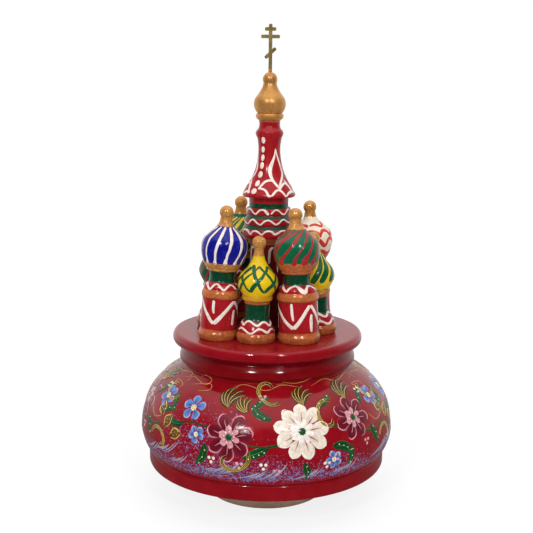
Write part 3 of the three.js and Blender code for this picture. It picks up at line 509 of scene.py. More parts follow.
towerSizes = {"tallDome": 9.6, "shortDome": 8.35, "neck": 5.15, "ball": 2.92, "tallRise": 52, "shortRise": 40.5}


# Matrix of a turn about a unit axis, as Rodrigues' formula gives it
def turnAbout(axis, degrees):
    x, y, z = axis
    t = math.radians(degrees)
    c, s, k = math.cos(t), math.sin(t), 1 - math.cos(t)
    return np.array([[c + x * x * k, x * y * k - z * s, x * z * k + y * s],
                     [y * x * k + z * s, c + y * y * k, y * z * k - x * s],
                     [z * x * k - y * s, z * y * k + x * s, c + z * z * k]])


# A tower is leaned inwards about its foot, set on the deck, and its foot is trimmed flat there
def towerPlace(spot):
    t = math.radians(spot["angle"])
    outwards, inwards = (math.cos(t), math.sin(t), 0), (math.sin(t), -math.cos(t), 0)
    turn = turnAbout(outwards, spot["side"]) @ turnAbout(inwards, spot["lean"])
    foot = np.array([spot["distance"] * math.cos(t), spot["distance"] * math.sin(t), deckHeight])

    def place(points):
        moved = points @ turn.T + foot
        moved[:, 2] = np.maximum(moved[:, 2], deckHeight + fit)
        return moved
    return place


# Heights of an outline are drawn for the usual rise and then stretched to the tower's own
def stretched(runs, share):
    return [[paint, kind, [[r, h * share] for r, h in points]] for paint, kind, points in runs]


def ballOnTop(rise, start):
    ball = towerSizes["ball"]
    return [["gold", "curve", ballPoints(rise, ball, start, 84)], ["gold", "line", [[0, rise + ball]]]]


def tallProfile(spot, look):
    g, dome, neck = spot["girth"], towerSizes["tallDome"], towerSizes["neck"]
    return turnedProfile([0, -1], stretched([
        ["rust", "line", [[7.4 * g, -1]]],
        ["rust", "curve", [[8.1 * g, 0.3], [8.5 * g, 1.9], [8.05 * g, 3.4], [7.95 * g, 4.15]]],
        ["red", "line", [[7.9 * g, 4.5], [7.7 * g, 17]]],
        ["ochre", "curve", [[7.95 * g, 17.2], [8.19 * g, 17.6], [8.21 * g, 18.5], [8.12 * g, 19.3]]],
        ["ochre", "curve", [[7.98 * g, 19.45], [7.85 * g, 19.9], [7.55 * g, 20.4]]],
        ["red", "curve", [[7.5 * g, 20.7], [7.25 * g, 21.8], [6.7 * g, 22.6], [6.0 * g, 23.1], [5.45, 23.5]]],
        ["green", "curve", [[neck + 0.05, 24.2], [neck, 25.6], [neck + 0.1, 26.9], [neck + 0.35, 27.9]]],
        [look["collar"], "curve", [[6.15, 28.15], [6.6, 28.4], [6.62, 28.9]]],
        [look["collar"], "curve", [[6.5, 29.05], [7.25, 29.8], [dome - 1.7, 31.0], [dome - 1.25, 31.5]]],
        [look["dome"], "curve", [[dome - 0.85, 32.8], [dome - 0.2, 35.2], [dome, 37.6], [dome - 0.3, 39.7],
                                 [dome - 1.1, 41.6], [dome - 3.3, 43.9], [4.1, 45.9], [3.15, 47.2]]],
        ["gold", "curve", [[2.75, 48.1], [2.5, 49.2]]]], spot["height"])
        + ballOnTop(towerSizes["tallRise"] * spot["height"], -36))


def shortProfile(spot, look):
    g, dome, d = spot["girth"], towerSizes["shortDome"], spot["drawn"]
    return turnedProfile([0, -1], stretched([
        ["rust", "line", [[7.1 * g, -1]]],
        ["rust", "curve", [[7.8 * g, 0.2], [8.25 * g, 1.7], [8.0 * g, 3.0], [7.55 * g, 3.9]]],
        ["red", "line", [[7.6 * g, 4.2]]],
        ["red", "curve", [[7.15 * g, 5.7], [6.45 * g, 7.3], [5.6 * g, 8.5]]],
        ["green", "curve", [[5.2, 9.1], [4.88, 10.4], [4.8, 12], [4.88, 13.8], [5.05, 15.6]]],
        ["rust", "curve", [[5.3, 15.8], [5.35, 16.3], [5.25, 16.8]]],
        [look["collar"], "curve", [[5.9, 16.95], [6.3, 17.5], [6.35, 18.2], [6.15, 19.0], [6.15, 19.3]]],
        [look["dome"], "curve", [[6.95, 20.5], [7.85, 22.1], [dome, 24], [dome - 0.15 - 0.15 * d, 25.9],
                                 [dome - 0.8 - 0.4 * d, 27.7], [dome - 1.95 - 0.6 * d, 29.3],
                                 [dome - 3.1 - 0.85 * d, 30.8], [3.6 - 0.75 * d, 33.4], [2.85 - 0.5 * d, 35.2]]],
        ["gold", "curve", [[2.45 - 0.35 * d, 36.3], [2.2 - 0.3 * d, 37.6]]]], spot["height"])
        + ballOnTop(towerSizes["shortRise"] * spot["height"], -40))


# A wave round a turned piece: height + reach * sin(count * angle), with a hand's small faults in it
def waveRound(strokes, paint, height, reach, count, width, shift, above, sharp=0.0, start=0.0, end=360.0):
    u = np.linspace(start, end, int(24 * count * (end - start) / 360) + 1)
    bend = np.sin(np.radians(u * count + shift))
    bend = (1 - sharp) * bend + sharp * 2 / np.pi * np.arcsin(bend)
    faults = 0.12 * np.sin(np.radians(3 * u + shift)) + 0.08 * np.sin(np.radians(5 * u + 40))
    grow = 1 + 0.2 * np.sin(np.radians(2 * u + shift)) + 0.12 * np.sin(np.radians(7 * u))
    strokes.line(paint, u, height + reach * (bend + faults), width * grow, above)


# Stripes from the neck (t = 0) down to the collar (t = 1), each at foot + twist * (1 - t ^ power) degrees
def sweepStripes(strokes, paint, feet, bottom, top, twist, power, widths):
    t = np.linspace(0, 1, 12)
    for foot in feet:
        jitter = rng.uniform(-1, 1, 3)
        u = foot + (twist + 4 * jitter[0]) * (1 - t ** power)
        width = np.interp(t, np.linspace(0, 1, len(widths)), widths) * (1 + 0.1 * jitter[1])
        strokes.path(paint, np.stack([u, top + (bottom - top) * t, width], 1), bottom - 2)


# Paint on the faces that the photograph shows, as strokes through [angle, height, width]; the far side is
# carried on in the same manner
seenStrokes = {
    "tower_blue": {"white": [
        [[-141, 46.6, 0.8], [-153, 45.5, 1], [-158, 43.9, 1.1], [-162, 42.4, 1.2], [-163, 40, 1.2],
         [-162, 37.9, 1.1],
         [-162, 35.6, 1], [-163, 33.6, 1.1], [-164, 31.3, 2.2]],
        [[-114, 46.7, 0.7], [-123, 45.3, 1], [-128, 43.7, 1.2], [-131, 42.2, 1.2], [-133, 40.4, 1],
         [-135, 38.6, 0.9],
         [-136, 36.9, 0.9], [-137, 34.6, 0.9], [-136, 33, 1], [-137, 31.3, 2.1]],
        [[-86, 46.7, 0.8], [-93, 45.3, 1.2], [-97, 43.7, 1.4], [-100.5, 42, 1.4], [-104, 40, 1.4],
         [-106.5, 38.1, 1.3],
         [-108.5, 36.3, 1.2], [-109, 34.4, 1.1], [-110, 33, 1.2], [-111, 31.2, 2.5]],
        [[-54, 46.7, 0.8], [-61, 45.8, 1.1], [-64, 44.2, 1.4], [-67, 42.6, 1.5], [-69, 40.9, 1.5],
         [-72, 39.2, 1.3],
         [-74, 37.6, 1.2], [-78, 35.8, 1.1], [-79, 34.3, 1.1], [-81, 33.1, 1.5], [-81.5, 31.2, 2.5]],
        [[-30, 46.7, 0.9], [-33, 45.8, 1.6], [-32, 44.4, 2], [-34, 43.1, 2.2], [-36, 41.6, 2.1],
         [-37, 40.3, 1.9],
         [-39, 38.9, 1.7], [-42, 37.1, 1.4], [-46, 35.3, 1.1], [-51, 33.5, 1.1], [-54, 31.2, 2.4]],
        [[2, 46.8, 0.8], [6, 44.7, 1], [6, 43.2, 1.1], [4, 41.5, 1.1], [1, 39.5, 1.1], [-5, 37.5, 1.1],
         [-15, 35.6, 1],
         [-24, 33.8, 1.1], [-27, 31.3, 2.2]],
        [[-176, 17, 1.2], [-154, 14.6, 1.6], [-140, 12.2, 1.6], [-126, 10, 1.6], [-115, 8.2, 1.6],
         [-104, 6.9, 1.5]],
        [[-104, 6.8, 1.7], [-92, 8.5, 2], [-78, 10.7, 1.7], [-63, 13, 1.6], [-49, 15, 1.7],
         [-38, 16.3, 1.6]],
        [[-38, 16.3, 1.6], [-24, 14.6, 1.6], [2, 10, 1.6], [20, 6.8, 1.6]],
        [[20, 6.8, 1.6], [50, 11.5, 1.6], [78, 16.2, 1.6]],
        [[78, 16.2, 1.6], [106, 11.5, 1.6], [135, 6.8, 1.6]],
        [[135, 6.8, 1.6], [160, 11.5, 1.6], [186, 16.6, 1.5]],
        [[-108, 16.6, 1.2], [-108, 14.7, 1.4], [-108, 12.9, 1.3], [-105, 11.1, 0.9]],
        [[-35, 12.8, 1.3], [-38, 11, 1.6], [-39, 8.9, 1.6], [-40, 6.4, 1.4]],
        [[22, 16.4, 1.3], [21, 13.5, 1.4], [22, 11, 1.2]], [[80, 12.4, 1.3], [80, 9, 1.4], [79, 6.2, 1.2]],
        [[134, 16.4, 1.3], [133, 13.5, 1.4], [134, 11, 1.2]],
        [[188, 12.4, 1.3], [188, 9, 1.4], [187, 6.2, 1.2]],
        [[-177, 23.2, 1.2], [-150, 22.8, 1.2], [-135, 21.5, 1.1], [-127, 20.9, 1], [-120, 21.7, 1],
         [-116, 22.6, 1.1],
         [-108, 23.2, 1.1], [-98, 22.9, 1.1], [-89, 21.9, 1], [-81, 21.1, 1], [-74, 21.2, 1],
         [-67, 22.2, 1],
         [-54, 23, 1], [-43, 22.9, 1.2], [-34, 21.8, 1.2], [-22, 21, 1.2]]]},
    "tower_green": {"white": [
        [[-180, 15.8, 1.2], [-162, 13.5, 1.5], [-149, 11.7, 1.6], [-136, 9.7, 1.6], [-122, 7.9, 1.6],
         [-106, 6.2, 1.7]],
        [[-106, 6.2, 1.9], [-93, 8.2, 1.7], [-80, 10.7, 1.6], [-69, 13, 1.6], [-55, 15.6, 1.6]],
        [[-52, 15.6, 1.5], [-38, 13.1, 1.6], [-26, 10.6, 1.7], [-8, 6.4, 1.5]],
        [[-8, 6.4, 1.6], [22, 11.2, 1.6], [48, 15.6, 1.6]],
        [[48, 15.6, 1.6], [76, 11, 1.6], [106, 6.5, 1.6]],
        [[106, 6.5, 1.6], [146, 11.4, 1.6], [178, 16, 1.3]],
        [[-111, 16.6, 1.2], [-110, 14.6, 1.3], [-109, 12.2, 1.3], [-106, 9.4, 0.9]],
        [[-50, 11.9, 1.2], [-52, 9.7, 1.7], [-52, 7.3, 1.7], [-52, 4.6, 1.1]],
        [[-6, 16.5, 1.3], [-7, 13.5, 1.4], [-6, 10.5, 1.2]],
        [[50, 12, 1.3], [50, 8.5, 1.5], [49, 5.5, 1.2]],
        [[107, 16.5, 1.3], [106, 13.5, 1.4], [107, 10.5, 1.2]],
        [[180, 12, 1.3], [180, 8.5, 1.5], [179, 5.5, 1.2]],
        [[-171, 23.3, 1.3], [-148, 22.7, 1.2], [-135, 21.8, 1.1], [-126, 21.5, 1.1], [-120, 22.6, 1.3],
         [-112, 23.2, 1.4],
         [-99, 23.4, 1.2], [-88, 23, 1.6], [-81, 22, 2], [-74, 21.3, 2.1], [-66, 21.3, 1.9],
         [-61, 22.4, 1.2],
         [-50, 23.2, 1.3], [-37, 23.2, 1.4], [-27, 22.5, 1.4], [-14, 21, 1.3]]],
        "stripeRed": [
        [[-77, 46, 0.8], [-97, 45, 1.1], [-114, 43.8, 1.3], [-125, 42.5, 1.4], [-133, 41.3, 1.3],
         [-141, 39.8, 1.3],
         [-149, 38.1, 1.4], [-155, 36.6, 1.4], [-160, 35, 1.6], [-164, 33.2, 2.2], [-165, 32, 2.8]],
        [[-50, 46.4, 1], [-64, 45.2, 1.1], [-82, 43.8, 1.5], [-92, 42.3, 1.8], [-99, 41, 1.5],
         [-105, 39.6, 1.2],
         [-113, 38, 1.2], [-120, 36.7, 1.3], [-128, 35.4, 1.7], [-134, 34.1, 2.3], [-139, 31.9, 3.2]],
        [[-18, 46.4, 1.2], [-40, 44.5, 1.3], [-55, 42.9, 1.1], [-66, 41.5, 0.9], [-72, 40, 0.75],
         [-76, 38.9, 0.7],
         [-82, 37.7, 0.8], [-88, 36.5, 0.9], [-94, 35.1, 1.3], [-97, 33.8, 1.8], [-100, 31.9, 2.9]],
        [[0, 46.2, 0.9], [-12, 44.7, 1.1], [-24, 43.3, 1.3], [-38, 41.9, 1.3], [-46, 40.4, 1.2],
         [-53, 38.7, 1.1],
         [-58, 37.2, 1.3], [-63, 35.8, 2], [-69, 34.4, 2.9], [-72, 31.9, 4]],
        [[22, 45.8, 0.9], [2, 43.1, 1], [-14, 40.5, 1.3], [-23, 38.6, 1.4], [-31, 36.9, 1.4],
         [-38, 35.2, 1.5],
         [-43, 33.8, 1.9], [-46, 31.9, 2.8]]]},
    "tower_yellow": {"darkGreen": [
        [[-121, 31.9, 1.8], [-111, 30.3, 1.8], [-104, 28.8, 1.7], [-98, 27.2, 1.7], [-94, 26.3, 1.6],
         [-88, 24.8, 1.5],
         [-83, 23.2, 1.3], [-75, 21.7, 1.2], [-66, 20.8, 1.2]],
        [[-83, 31.4, 1.2], [-71, 30, 1.3], [-63, 29.2, 1.5], [-55, 28.1, 1.5], [-47, 26.5, 1.5],
         [-41, 24.9, 1.6],
         [-28, 22.8, 1.5], [-8, 20.9, 1.2]],
        [[-83, 31.4, 1.1], [-98, 30.1, 0.8], [-113, 28.5, 0.9], [-122, 27.5, 1.2], [-132, 26, 1.3],
         [-137, 24.7, 1.5],
         [-145, 23.2, 1.6], [-158, 21.3, 1.5]],
        [[-32, 31.3, 1.5], [-50, 29.8, 1.3], [-67, 28.6, 1.3], [-76, 27.3, 1.5], [-86, 26.1, 1.7],
         [-95, 24.5, 2.0],
         [-104, 22.9, 2.0], [-112, 20.9, 1.8]],
        [[-131, 30.9, 1.1], [-142, 30, 1.2], [-148, 28.5, 1.2], [-146, 27, 1.5], [-139, 25.5, 1.5],
         [-131, 24.2, 1.2],
         [-125, 22.7, 1.2], [-113, 21, 1.3]],
        [[-66, 20.9, 1.8], [-57, 22.6, 2.1], [-45, 23.9, 2.0], [-34, 25.1, 1.7], [-20, 26.8, 1.6],
         [0, 29, 1.3],
         [18, 31.2, 1.2]]],
        "white": [
        [[-187, 8.8, 0.9], [-172, 8, 1], [-150, 7.5, 1], [-141, 7.1, 1], [-138, 7.9, 1.1],
         [-133, 8.6, 1], [-122, 8.8, 1],
         [-110, 8.5, 1], [-99, 7.9, 1.1], [-88, 7.4, 1.1], [-79, 7.6, 1.1], [-70, 8.3, 1], [-60, 8.6, 1],
         [-49, 8.5, 1.1],
         [-42, 7.9, 1.2], [-34, 7.2, 1.2], [-21, 7.5, 1.1], [-8, 8.6, 1]],
        [[-165, 4.6, 0.9], [-156, 5.5, 1], [-146, 5.8, 0.9], [-137, 5.6, 0.9], [-126, 5.1, 0.9],
         [-117, 4.4, 0.8],
         [-109, 4.1, 0.8], [-102, 4.3, 0.8], [-95, 4.9, 0.8], [-87, 5.7, 0.9], [-79, 6, 1],
         [-70, 5.8, 1], [-62, 5.2, 1.1],
         [-54, 4.6, 1.1], [-47, 4.7, 1.1], [-39, 5.4, 1], [-29, 5.8, 0.8], [-16, 5.1, 0.9]]]},
    "tower_white": {"scarlet": [
        [[-125, 44.9, 1.2], [-111, 44.4, 1.8], [-103, 43.8, 1.2]],
        [[-97, 44.3, 1], [-84, 44.7, 1.4], [-70, 44.8, 1.6], [-58, 44.5, 1.6], [-48, 44, 1.6],
         [-36, 43.8, 1.6]],
        [[-22, 45.8, 1.4], [-28, 44.8, 1.7], [-38, 43.9, 1.6]],
        [[-110, 41.9, 1], [-96, 42.4, 1.2], [-85, 42.4, 1.2], [-76, 42, 1.3], [-69, 41.3, 1.4],
         [-66, 40.1, 1.6],
         [-62, 41.2, 1.7], [-52, 42.2, 1.8], [-40, 42.2, 2], [-32, 41.2, 2], [-26, 40, 2],
         [-14, 41, 1.8], [-2, 42.2, 1.7]],
        [[-84, 39.2, 1.3], [-69, 38.5, 1.7], [-63, 37.3, 2.2], [-56, 36, 2.2], [-49, 36.1, 1.8],
         [-44, 37.2, 1.7],
         [-37, 38.4, 1.7], [-25, 38.5, 1.8], [-12, 37, 2], [-2, 35.9, 1.8]],
        [[-78, 34, 1.2], [-63, 33.7, 1.4], [-56, 33.1, 2.1], [-42, 31.9, 2], [-30, 32.2, 1.7],
         [-20, 33.4, 1.2]]]},
}


# The zigzag round an unseen drum: three valleys, a dash over each and one under each peak
def tallBody(strokes, turnBy):
    for k in range(3):
        valley = turnBy + 120 * k + rng.uniform(-4, 4)
        for side in (-1, 1):
            strokes.path("white", [[valley, 6.4, 1.7], [valley + side * 29, 11.2, 1.6],
                                   [valley + side * 60, 16, 1.4]])
        strokes.path("white", [[valley - 1, 16.5, 1.3], [valley, 13.5, 1.4], [valley, 10.8, 1]])
        strokes.path("white", [[valley + 61, 12.4, 1.2], [valley + 60, 9, 1.5], [valley + 60, 5.6, 1.2]])
    waveRound(strokes, "white", 22.1, 1.1, 8, 1.15, turnBy * 3, 20.3)


def shortBody(strokes, shift, start=0.0, end=360.0):
    waveRound(strokes, "white", 5.1, 0.85, 6, 0.95, shift - 30, 3.9, 0, start, end)
    waveRound(strokes, "white", 8.1, 0.75, 6, 1.05, shift, 4.2, 0, start, end)


def blueTower(strokes):
    waveRound(strokes, "white", 22.1, 1.1, 8, 1.15, 40, 20.3, 0, -16, 176)
    unseen = [1, 29, 57, 85, 113, 141, 168]
    sweepStripes(strokes, "white", unseen, 31.3, 46.7, 28, 0.5,
                 [0.7, 1.15, 1.4, 1.45, 1.45, 1.35, 1.2, 1.1, 1.15, 2.3])
    for foot in unseen + [-164, -137, -111, -81.5, -54, -27]:     # the gold climbs a little between the lobes
        strokes.path("gold", [[foot, 30.6, 3.4], [foot, 31.3, 2.8], [foot, 32.2, 1.2]], 29, 0.09, 14)


def greenTower(strokes):
    waveRound(strokes, "white", 22.3, 1, 7, 1.2, 0, 20.3, 0, -8, 182)
    sweepStripes(strokes, "stripeRed", [-18, 10, 38, 66, 95, 124, 150, 172], 31.9, 46.4, 80, 0.65,
                 [0.9, 1.2, 1.5, 1.3, 1.1, 1.2, 1.5, 2, 2.8])


def yellowTower(strokes):
    shortBody(strokes, 0, -6, 172)
    for foot in (40, 86, 131, 168):                         # the far side's crossing strokes
        for side in (-1, 1):
            strokes.path("darkGreen", [[foot, 20.9, 1.5], [foot + side * 20, 23.8, 1.6],
                                       [foot + side * 44, 27.6, 1.4], [foot + side * 70, 31.2, 1.1]])


def whiteTower(strokes):
    tallBody(strokes, -80)
    for height, reach, count, width in ((44.3, 0.5, 7, 1.2), (41.2, 1.1, 9, 1.7), (37.2, 1.3, 9, 1.8),
                                        (32.9, 0.8, 8, 1.5)):
        waveRound(strokes, "scarlet", height, reach, count, width, height * 40, 31.3, 0.4, 4, 236)


def oliveTower(strokes):
    tallBody(strokes, -100)
    for shift, width in ((0, 1.7), (22, 0.6)):
        sweepStripes(strokes, "yellow", -150 + shift + 45 * np.arange(8), 31.9, 47, 85, 0.65,
                     [0.6 * width, 0.9 * width, width, width, 0.8 * width, 0.7 * width, width])


def swirlTower(strokes):
    shortBody(strokes, 252)
    feet = [-136, -103, -76, -43, -12, 18, 48, 78, 108, 138, 168, 194]
    sweepStripes(strokes, "darkGreen", feet, 22.3, 35, 62, 1.0, [0.8, 1.3, 1.9, 2.5, 3.0, 3.3, 3.2, 2.6])


def stripedTower(strokes):
    shortBody(strokes, 100)
    sweepStripes(strokes, "stripeRed", -135 + 27.7 * np.arange(13), 19.7, 35, 70, 0.8,
                 [0.6, 0.9, 1.1, 1.3, 1.2, 1.1, 1.3])


def rearTower(strokes):
    shortBody(strokes, 20)
    sweepStripes(strokes, "white", 30 * np.arange(12), 19.7, 35, 45, 0.7, [0.6, 0.9, 1.2, 1.3, 1.2, 1.1, 1.5])


# The paints of each dome and its collar; "collarTop" and "goldFrom" are heights that move the collar's and the
# neck's edges of paint
towerLooks = {
    "tower_blue": {"dome": "blue", "collar": "gold", "goldFrom": 46.4, "paint": blueTower},
    "tower_green": {"dome": "leafGreen", "collar": "rust", "collarTop": 32.9, "goldFrom": 46.3, "paint": greenTower},
    "tower_white": {"dome": "cream", "collar": "ochre", "goldFrom": 47.9, "paint": whiteTower},
    "tower_olive": {"dome": "leafGreen", "collar": "gold", "paint": oliveTower},
    "tower_yellow": {"dome": "yellow", "collar": "amber", "paint": yellowTower},
    "tower_swirl": {"dome": "yellow", "collar": "gold", "paint": swirlTower},
    "tower_striped": {"dome": "leafGreen", "collar": "gold", "paint": stripedTower},
    "tower_rear": {"dome": "blue", "collar": "gold", "paint": rearTower},
}
neckFrom = 44                             # no collar lies above this height, and no neck below it


def repainted(profile, look, share):
    paints = []
    for paint, z in zip(profile["paints"], profile["z"][1:] / share):
        if paint == look["dome"] and z < look.get("collarTop", 0):
            paint = look["collar"]
        if paint in ("gold", look["dome"]) and z > neckFrom and "goldFrom" in look:
            paint = "gold" if z > look["goldFrom"] else look["dome"]
        paints.append(paint)
    return paints


def tower(node):
    spot, look = {**usualSpot, **towerSpots[node]}, towerLooks[node]
    profile = (tallProfile if spot["kind"] == "tall" else shortProfile)(spot, look)
    profile["paints"] = repainted(profile, look, spot["height"])
    place = towerPlace(spot)
    name = node.replace("tower_", "") + "Tower"
    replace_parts(turnedPiece(name, profile, paints, 112, 0.14, place), node)
    strokes = Strokes(profile, place)
    look["paint"](strokes)
    for paint, paths in seenStrokes.get(node, {}).items():
        for points in paths:
            strokes.path(paint, points, -0.5)
    strokes.finish(name)
    print("painted", node)


for node in towerSpots:
    tower(node)


# Middle tower

middle = {"column": 7.8, "drumTop": 8.4, "brim": 11.35, "waist": 4.65, "dome": 6.68, "domeHeight": 19.95,
          "ball": 3.05}


# The three waves on the drum's front: [angle, height, width]
drumWaves = [
    [[-175, 13, 0.9], [-162, 14.4, 0.9], [-151, 15.1, 0.9], [-141, 14.7, 0.9], [-133, 13.6, 0.8],
     [-126, 13.1, 0.8],
     [-119, 14, 0.8], [-113, 14.8, 0.8], [-105, 15.1, 0.9], [-99, 14.6, 1.2], [-94, 13.7, 1.3],
     [-90, 12.9, 1.3]],
    [[-84, 13.2, 0.7], [-80, 14, 0.7], [-74, 14.9, 0.7], [-67, 14.9, 0.7], [-60, 14.2, 0.7],
     [-53, 13.3, 0.8],
     [-45, 13, 0.9], [-40, 13.7, 0.9], [-33, 14.8, 0.9], [-25, 15.2, 0.8]],
    [[-179, 9.9, 0.8], [-161, 9.2, 0.8], [-149, 8.7, 0.8], [-141, 9.7, 0.9], [-135, 10.7, 0.9],
     [-128, 10.8, 0.8],
     [-123, 10.2, 0.8], [-116, 9.3, 0.8], [-110, 8.8, 0.8], [-104, 9.6, 0.8], [-98, 10.5, 0.8],
     [-90, 10.8, 0.8],
     [-84, 10.3, 0.8], [-77, 9.4, 0.8], [-71, 9, 0.8], [-64, 9.7, 0.8], [-57, 10.7, 0.8], [-49, 10.9, 0.8],
     [-43, 10.1, 0.8], [-29, 9.1, 0.8]],
    [[-187, 6.3, 0.6], [-178, 5.3, 0.6], [-171, 4.6, 0.6]],
    [[-166, 5.8, 0.9], [-152, 6.3, 1], [-142, 5.9, 1.2], [-136, 5, 1.1], [-132, 4.8, 0.9],
     [-128, 5.7, 0.8], [-123, 6.2, 0.8],
     [-117, 6.1, 0.8], [-110, 5.4, 0.8], [-105, 4.8, 0.8], [-100, 5.5, 0.8], [-95, 6.2, 0.9],
     [-89, 6.4, 0.9],
     [-83, 6.1, 0.9], [-78, 5.2, 1.1], [-74, 5, 1.1], [-68, 5.5, 1], [-62, 6.2, 0.9], [-56, 6.4, 0.8],
     [-47, 6.3, 0.8]]]


def column():
    foot, top, r = deckHeight + fit, low("tier_drum") - fit, middle["column"]
    profile = turnedProfile([0, foot], [
        ["maroon", "line", [[r + 0.6, foot]]],
        ["maroon", "curve", [[r + 0.9, foot + 0.8], [r + 0.5, foot + 1.9]]],
        ["maroon", "line", [[r, foot + 2.4], [r, top], [0, top]]]])
    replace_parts(turnedPiece("middleColumn", profile, paints, 112), "central_column")
    strokes = Strokes(profile, slot="red_lacquer")
    for k in range(5):                                      # tall narrow arches, open at the foot
        u = 72 * k - 87
        strokes.path("white", [[u, top - 8, 0.8], [u, top - 5, 1.2], [u + 4, top - 1.9, 1.2], [u + 14, top - 1.3, 1],
                               [u + 24, top - 2, 1], [u + 28, top - 6, 0.9], [u + 28, top - 12, 0.6]])
        strokes.path("white", [[u, foot + 6, 0.9], [u, foot + 12, 1.1], [u, foot + 18, 0.8]])
    strokes.finish("middleColumn")


def tiers():
    z, r, top = drumBottom, middle["drumTop"], high("tier_drum")

    def tier(lower, upper, out):
        return ["red", "curve", [[out - 0.3, lower], [out, lower + 0.5], [out, upper - 0.5], [out - 0.3, upper]]]
    profile = turnedProfile([0, z], [
        ["rust", "line", [[r - 0.15, z]]],
        ["rust", "curve", [[r + 0.35, z + 0.8], [r + 1.25, z + 1.9], [r + 2.2, z + 2.9]]],
        tier(z + 3.15, z + 6.5, r + 2.7), ["green", "line", [[r + 2.3, z + 6.7], [r + 1.5, z + 8]]],
        tier(z + 8.15, z + 10.9, r + 1.9), ["green", "line", [[r + 1.5, z + 11.1], [r + 0.6, z + 12.25]]],
        tier(z + 12.4, z + 15.4, r + 1), ["green", "line", [[r - 0.05, z + 15.7], [r - 0.1, z + 17.4]]],
        ["red", "line", [[r, z + 17.6], [r, top], [0, top]]]])
    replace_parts(turnedPiece("tierDrum", profile, paints, 128, 0.12), "tier_drum")
    strokes = Strokes(profile, slot="red_lacquer")
    for points in drumWaves:
        strokes.path("white", [[u, z + height, width] for u, height, width in points], count=8 * len(points))
    unseen = ((5.45, 0.75, 11, 20, -44, 194), (9.85, 0.9, 10, -160, -26, 176), (14.1, 1, 9, 150, -22, 182))
    for height, reach, count, shift, start, end in unseen:
        waveRound(strokes, "white", z + height, reach, count, 0.95, shift, z + height - 1.9, 0.3, start, end)
    strokes.finish("tierDrum")


# One third of the tent's paint: a flame leaf, the lozenge and arch beside it, and scallops along the brim
tentStrokes = [
    [[-55, 20.5, 0.5], [-62, 17.6, 0.9], [-73, 15.2, 1.3], [-83, 13.2, 1.8], [-87, 11.1, 1.8],
     [-83, 8.9, 1.5],
     [-76, 6.9, 1.3], [-67, 5.2, 1.3], [-62, 4, 1.3]],
    [[-55, 20.2, 0.5], [-45, 16.8, 0.9], [-34, 13.6, 1.1], [-31, 10.7, 1.2], [-40, 8.7, 1.2],
     [-53, 6.7, 1.2], [-62, 4.4, 1.2]],
    [[-64, 3.8, 1.1], [-53, 5.3, 1], [-40, 6.2, 1.1], [-31, 5.1, 1.1], [-25, 3.1, 1.1], [-20, 1.9, 1]],
    [[-19, 2.1, 0.9], [-24, 2.9, 0.9], [-40, 2.2, 1], [-51, 0.95, 1], [-56, 2.3, 1.1], [-63, 3.4, 1.1],
     [-71, 3.4, 1],
     [-78, 2.4, 1], [-85, 1, 1]],
    [[-85, 1.1, 1.1], [-91, 1.3, 1.2], [-95, 2.7, 1.1], [-101, 3.7, 1], [-110, 4.1, 1], [-118, 4.1, 1]],
    [[-115, 4.2, 1], [-109, 5.7, 1.1], [-101, 6.9, 1.2], [-89, 7.4, 1.2], [-78, 7.4, 1.2]],
    [[-158, 7.6, 0.7], [-152, 6.1, 1], [-146, 3.9, 1.1], [-145, 2.4, 1.1]],
    [[-141, 2.1, 0.9], [-149, 2.6, 1], [-158, 1.9, 0.9]]]


# Drops of paint up the tent: angle, height, radius, how much longer than wide
tentDots = [(-121, 23.8, 1, 1.5), (-125, 20, 0.95, 1.5), (-124, 16.6, 0.95, 1.6), (-124, 13.4, 1.05, 1.5),
            (-123, 9.7, 1.15, 1.4), (-124, 6.1, 1.25, 1.3), (-127, 2.95, 1.45, 1.0)]


def tent():
    z, waist, brim, top = tentBottom, middle["waist"], middle["brim"], high("tent_spire")
    profile = turnedProfile([0, z], [
        ["red", "line", [[brim - 0.7, z]]],
        ["red", "curve", [[brim - 0.15, z + 0.45], [brim, z + 1.15], [brim - 0.25, z + 1.8]]],
        ["red", "curve", [[brim - 1.75, z + 4.45], [waist + 2.75, z + 8.2], [waist + 1.2, z + 12],
                          [waist + 0.42, z + 15.7], [waist, z + 19.4], [waist + 0.2, z + 23],
                          [waist + 0.5, z + 24.8]]],
        ["red", "curve", [[waist + 1.0, z + 25.7], [waist + 1.22, z + 26.7], [waist + 0.95, z + 27.6],
                          [waist + 0.1, z + 28.7], [waist - 0.25, z + 29.8], [waist - 0.25, top - 0.6]]],
        ["ochre", "line", [[waist - 0.22, top - 0.5], [waist - 0.1, top]]],
        ["red", "line", [[0, top]]]])
    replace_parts(turnedPiece("tentSpire", profile, paints, 128), "tent_spire")
    strokes = Strokes(profile, slot="red_lacquer")
    for turned in (0, 120, 240):
        for points in tentStrokes:
            strokes.path("white", [[u + turned, z + height, width] for u, height, width in points])
        for u, height, radius, stretch in tentDots:
            strokes.dot("white", u + turned, z + height, radius, stretch, z + 1.2)
    strokes.finish("tentSpire")


def gildedDome():
    z, dome, ball = domeBottom, middle["dome"], middle["ball"]
    ballZ = z + middle["domeHeight"] - ball
    profile = turnedProfile([0, z], [
        ["gilt", "line", [[dome - 2.2, z]]],
        ["gilt", "line", [[dome - 1.25, z + 0.85]]],
        ["gilt", "curve", [[dome - 0.95, z + 1.25], [dome - 0.87, z + 1.9], [dome - 0.95, z + 2.5],
                           [dome - 1.3, z + 2.85], [dome - 1.75, z + 2.95]]],
        ["gilt", "curve", [[dome - 1.25, z + 3.3], [dome - 0.3, z + 5.0], [dome, z + 6.5], [dome - 0.05, z + 7.6],
                           [dome - 0.4, z + 8.9], [5.5, z + 10.1], [4.6, z + 11.3], [3.85, z + 12.5],
                           [3.2, z + 13.8], [2.85, z + 14.9]]],
        ["gilt", "curve", ballPoints(ballZ, ball, -24, 80)],
        ["gilt", "line", [[0, ballZ + ball - 0.02]]]])
    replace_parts(turnedPiece("gildedDome", profile, paints, 112), "gilded_dome")


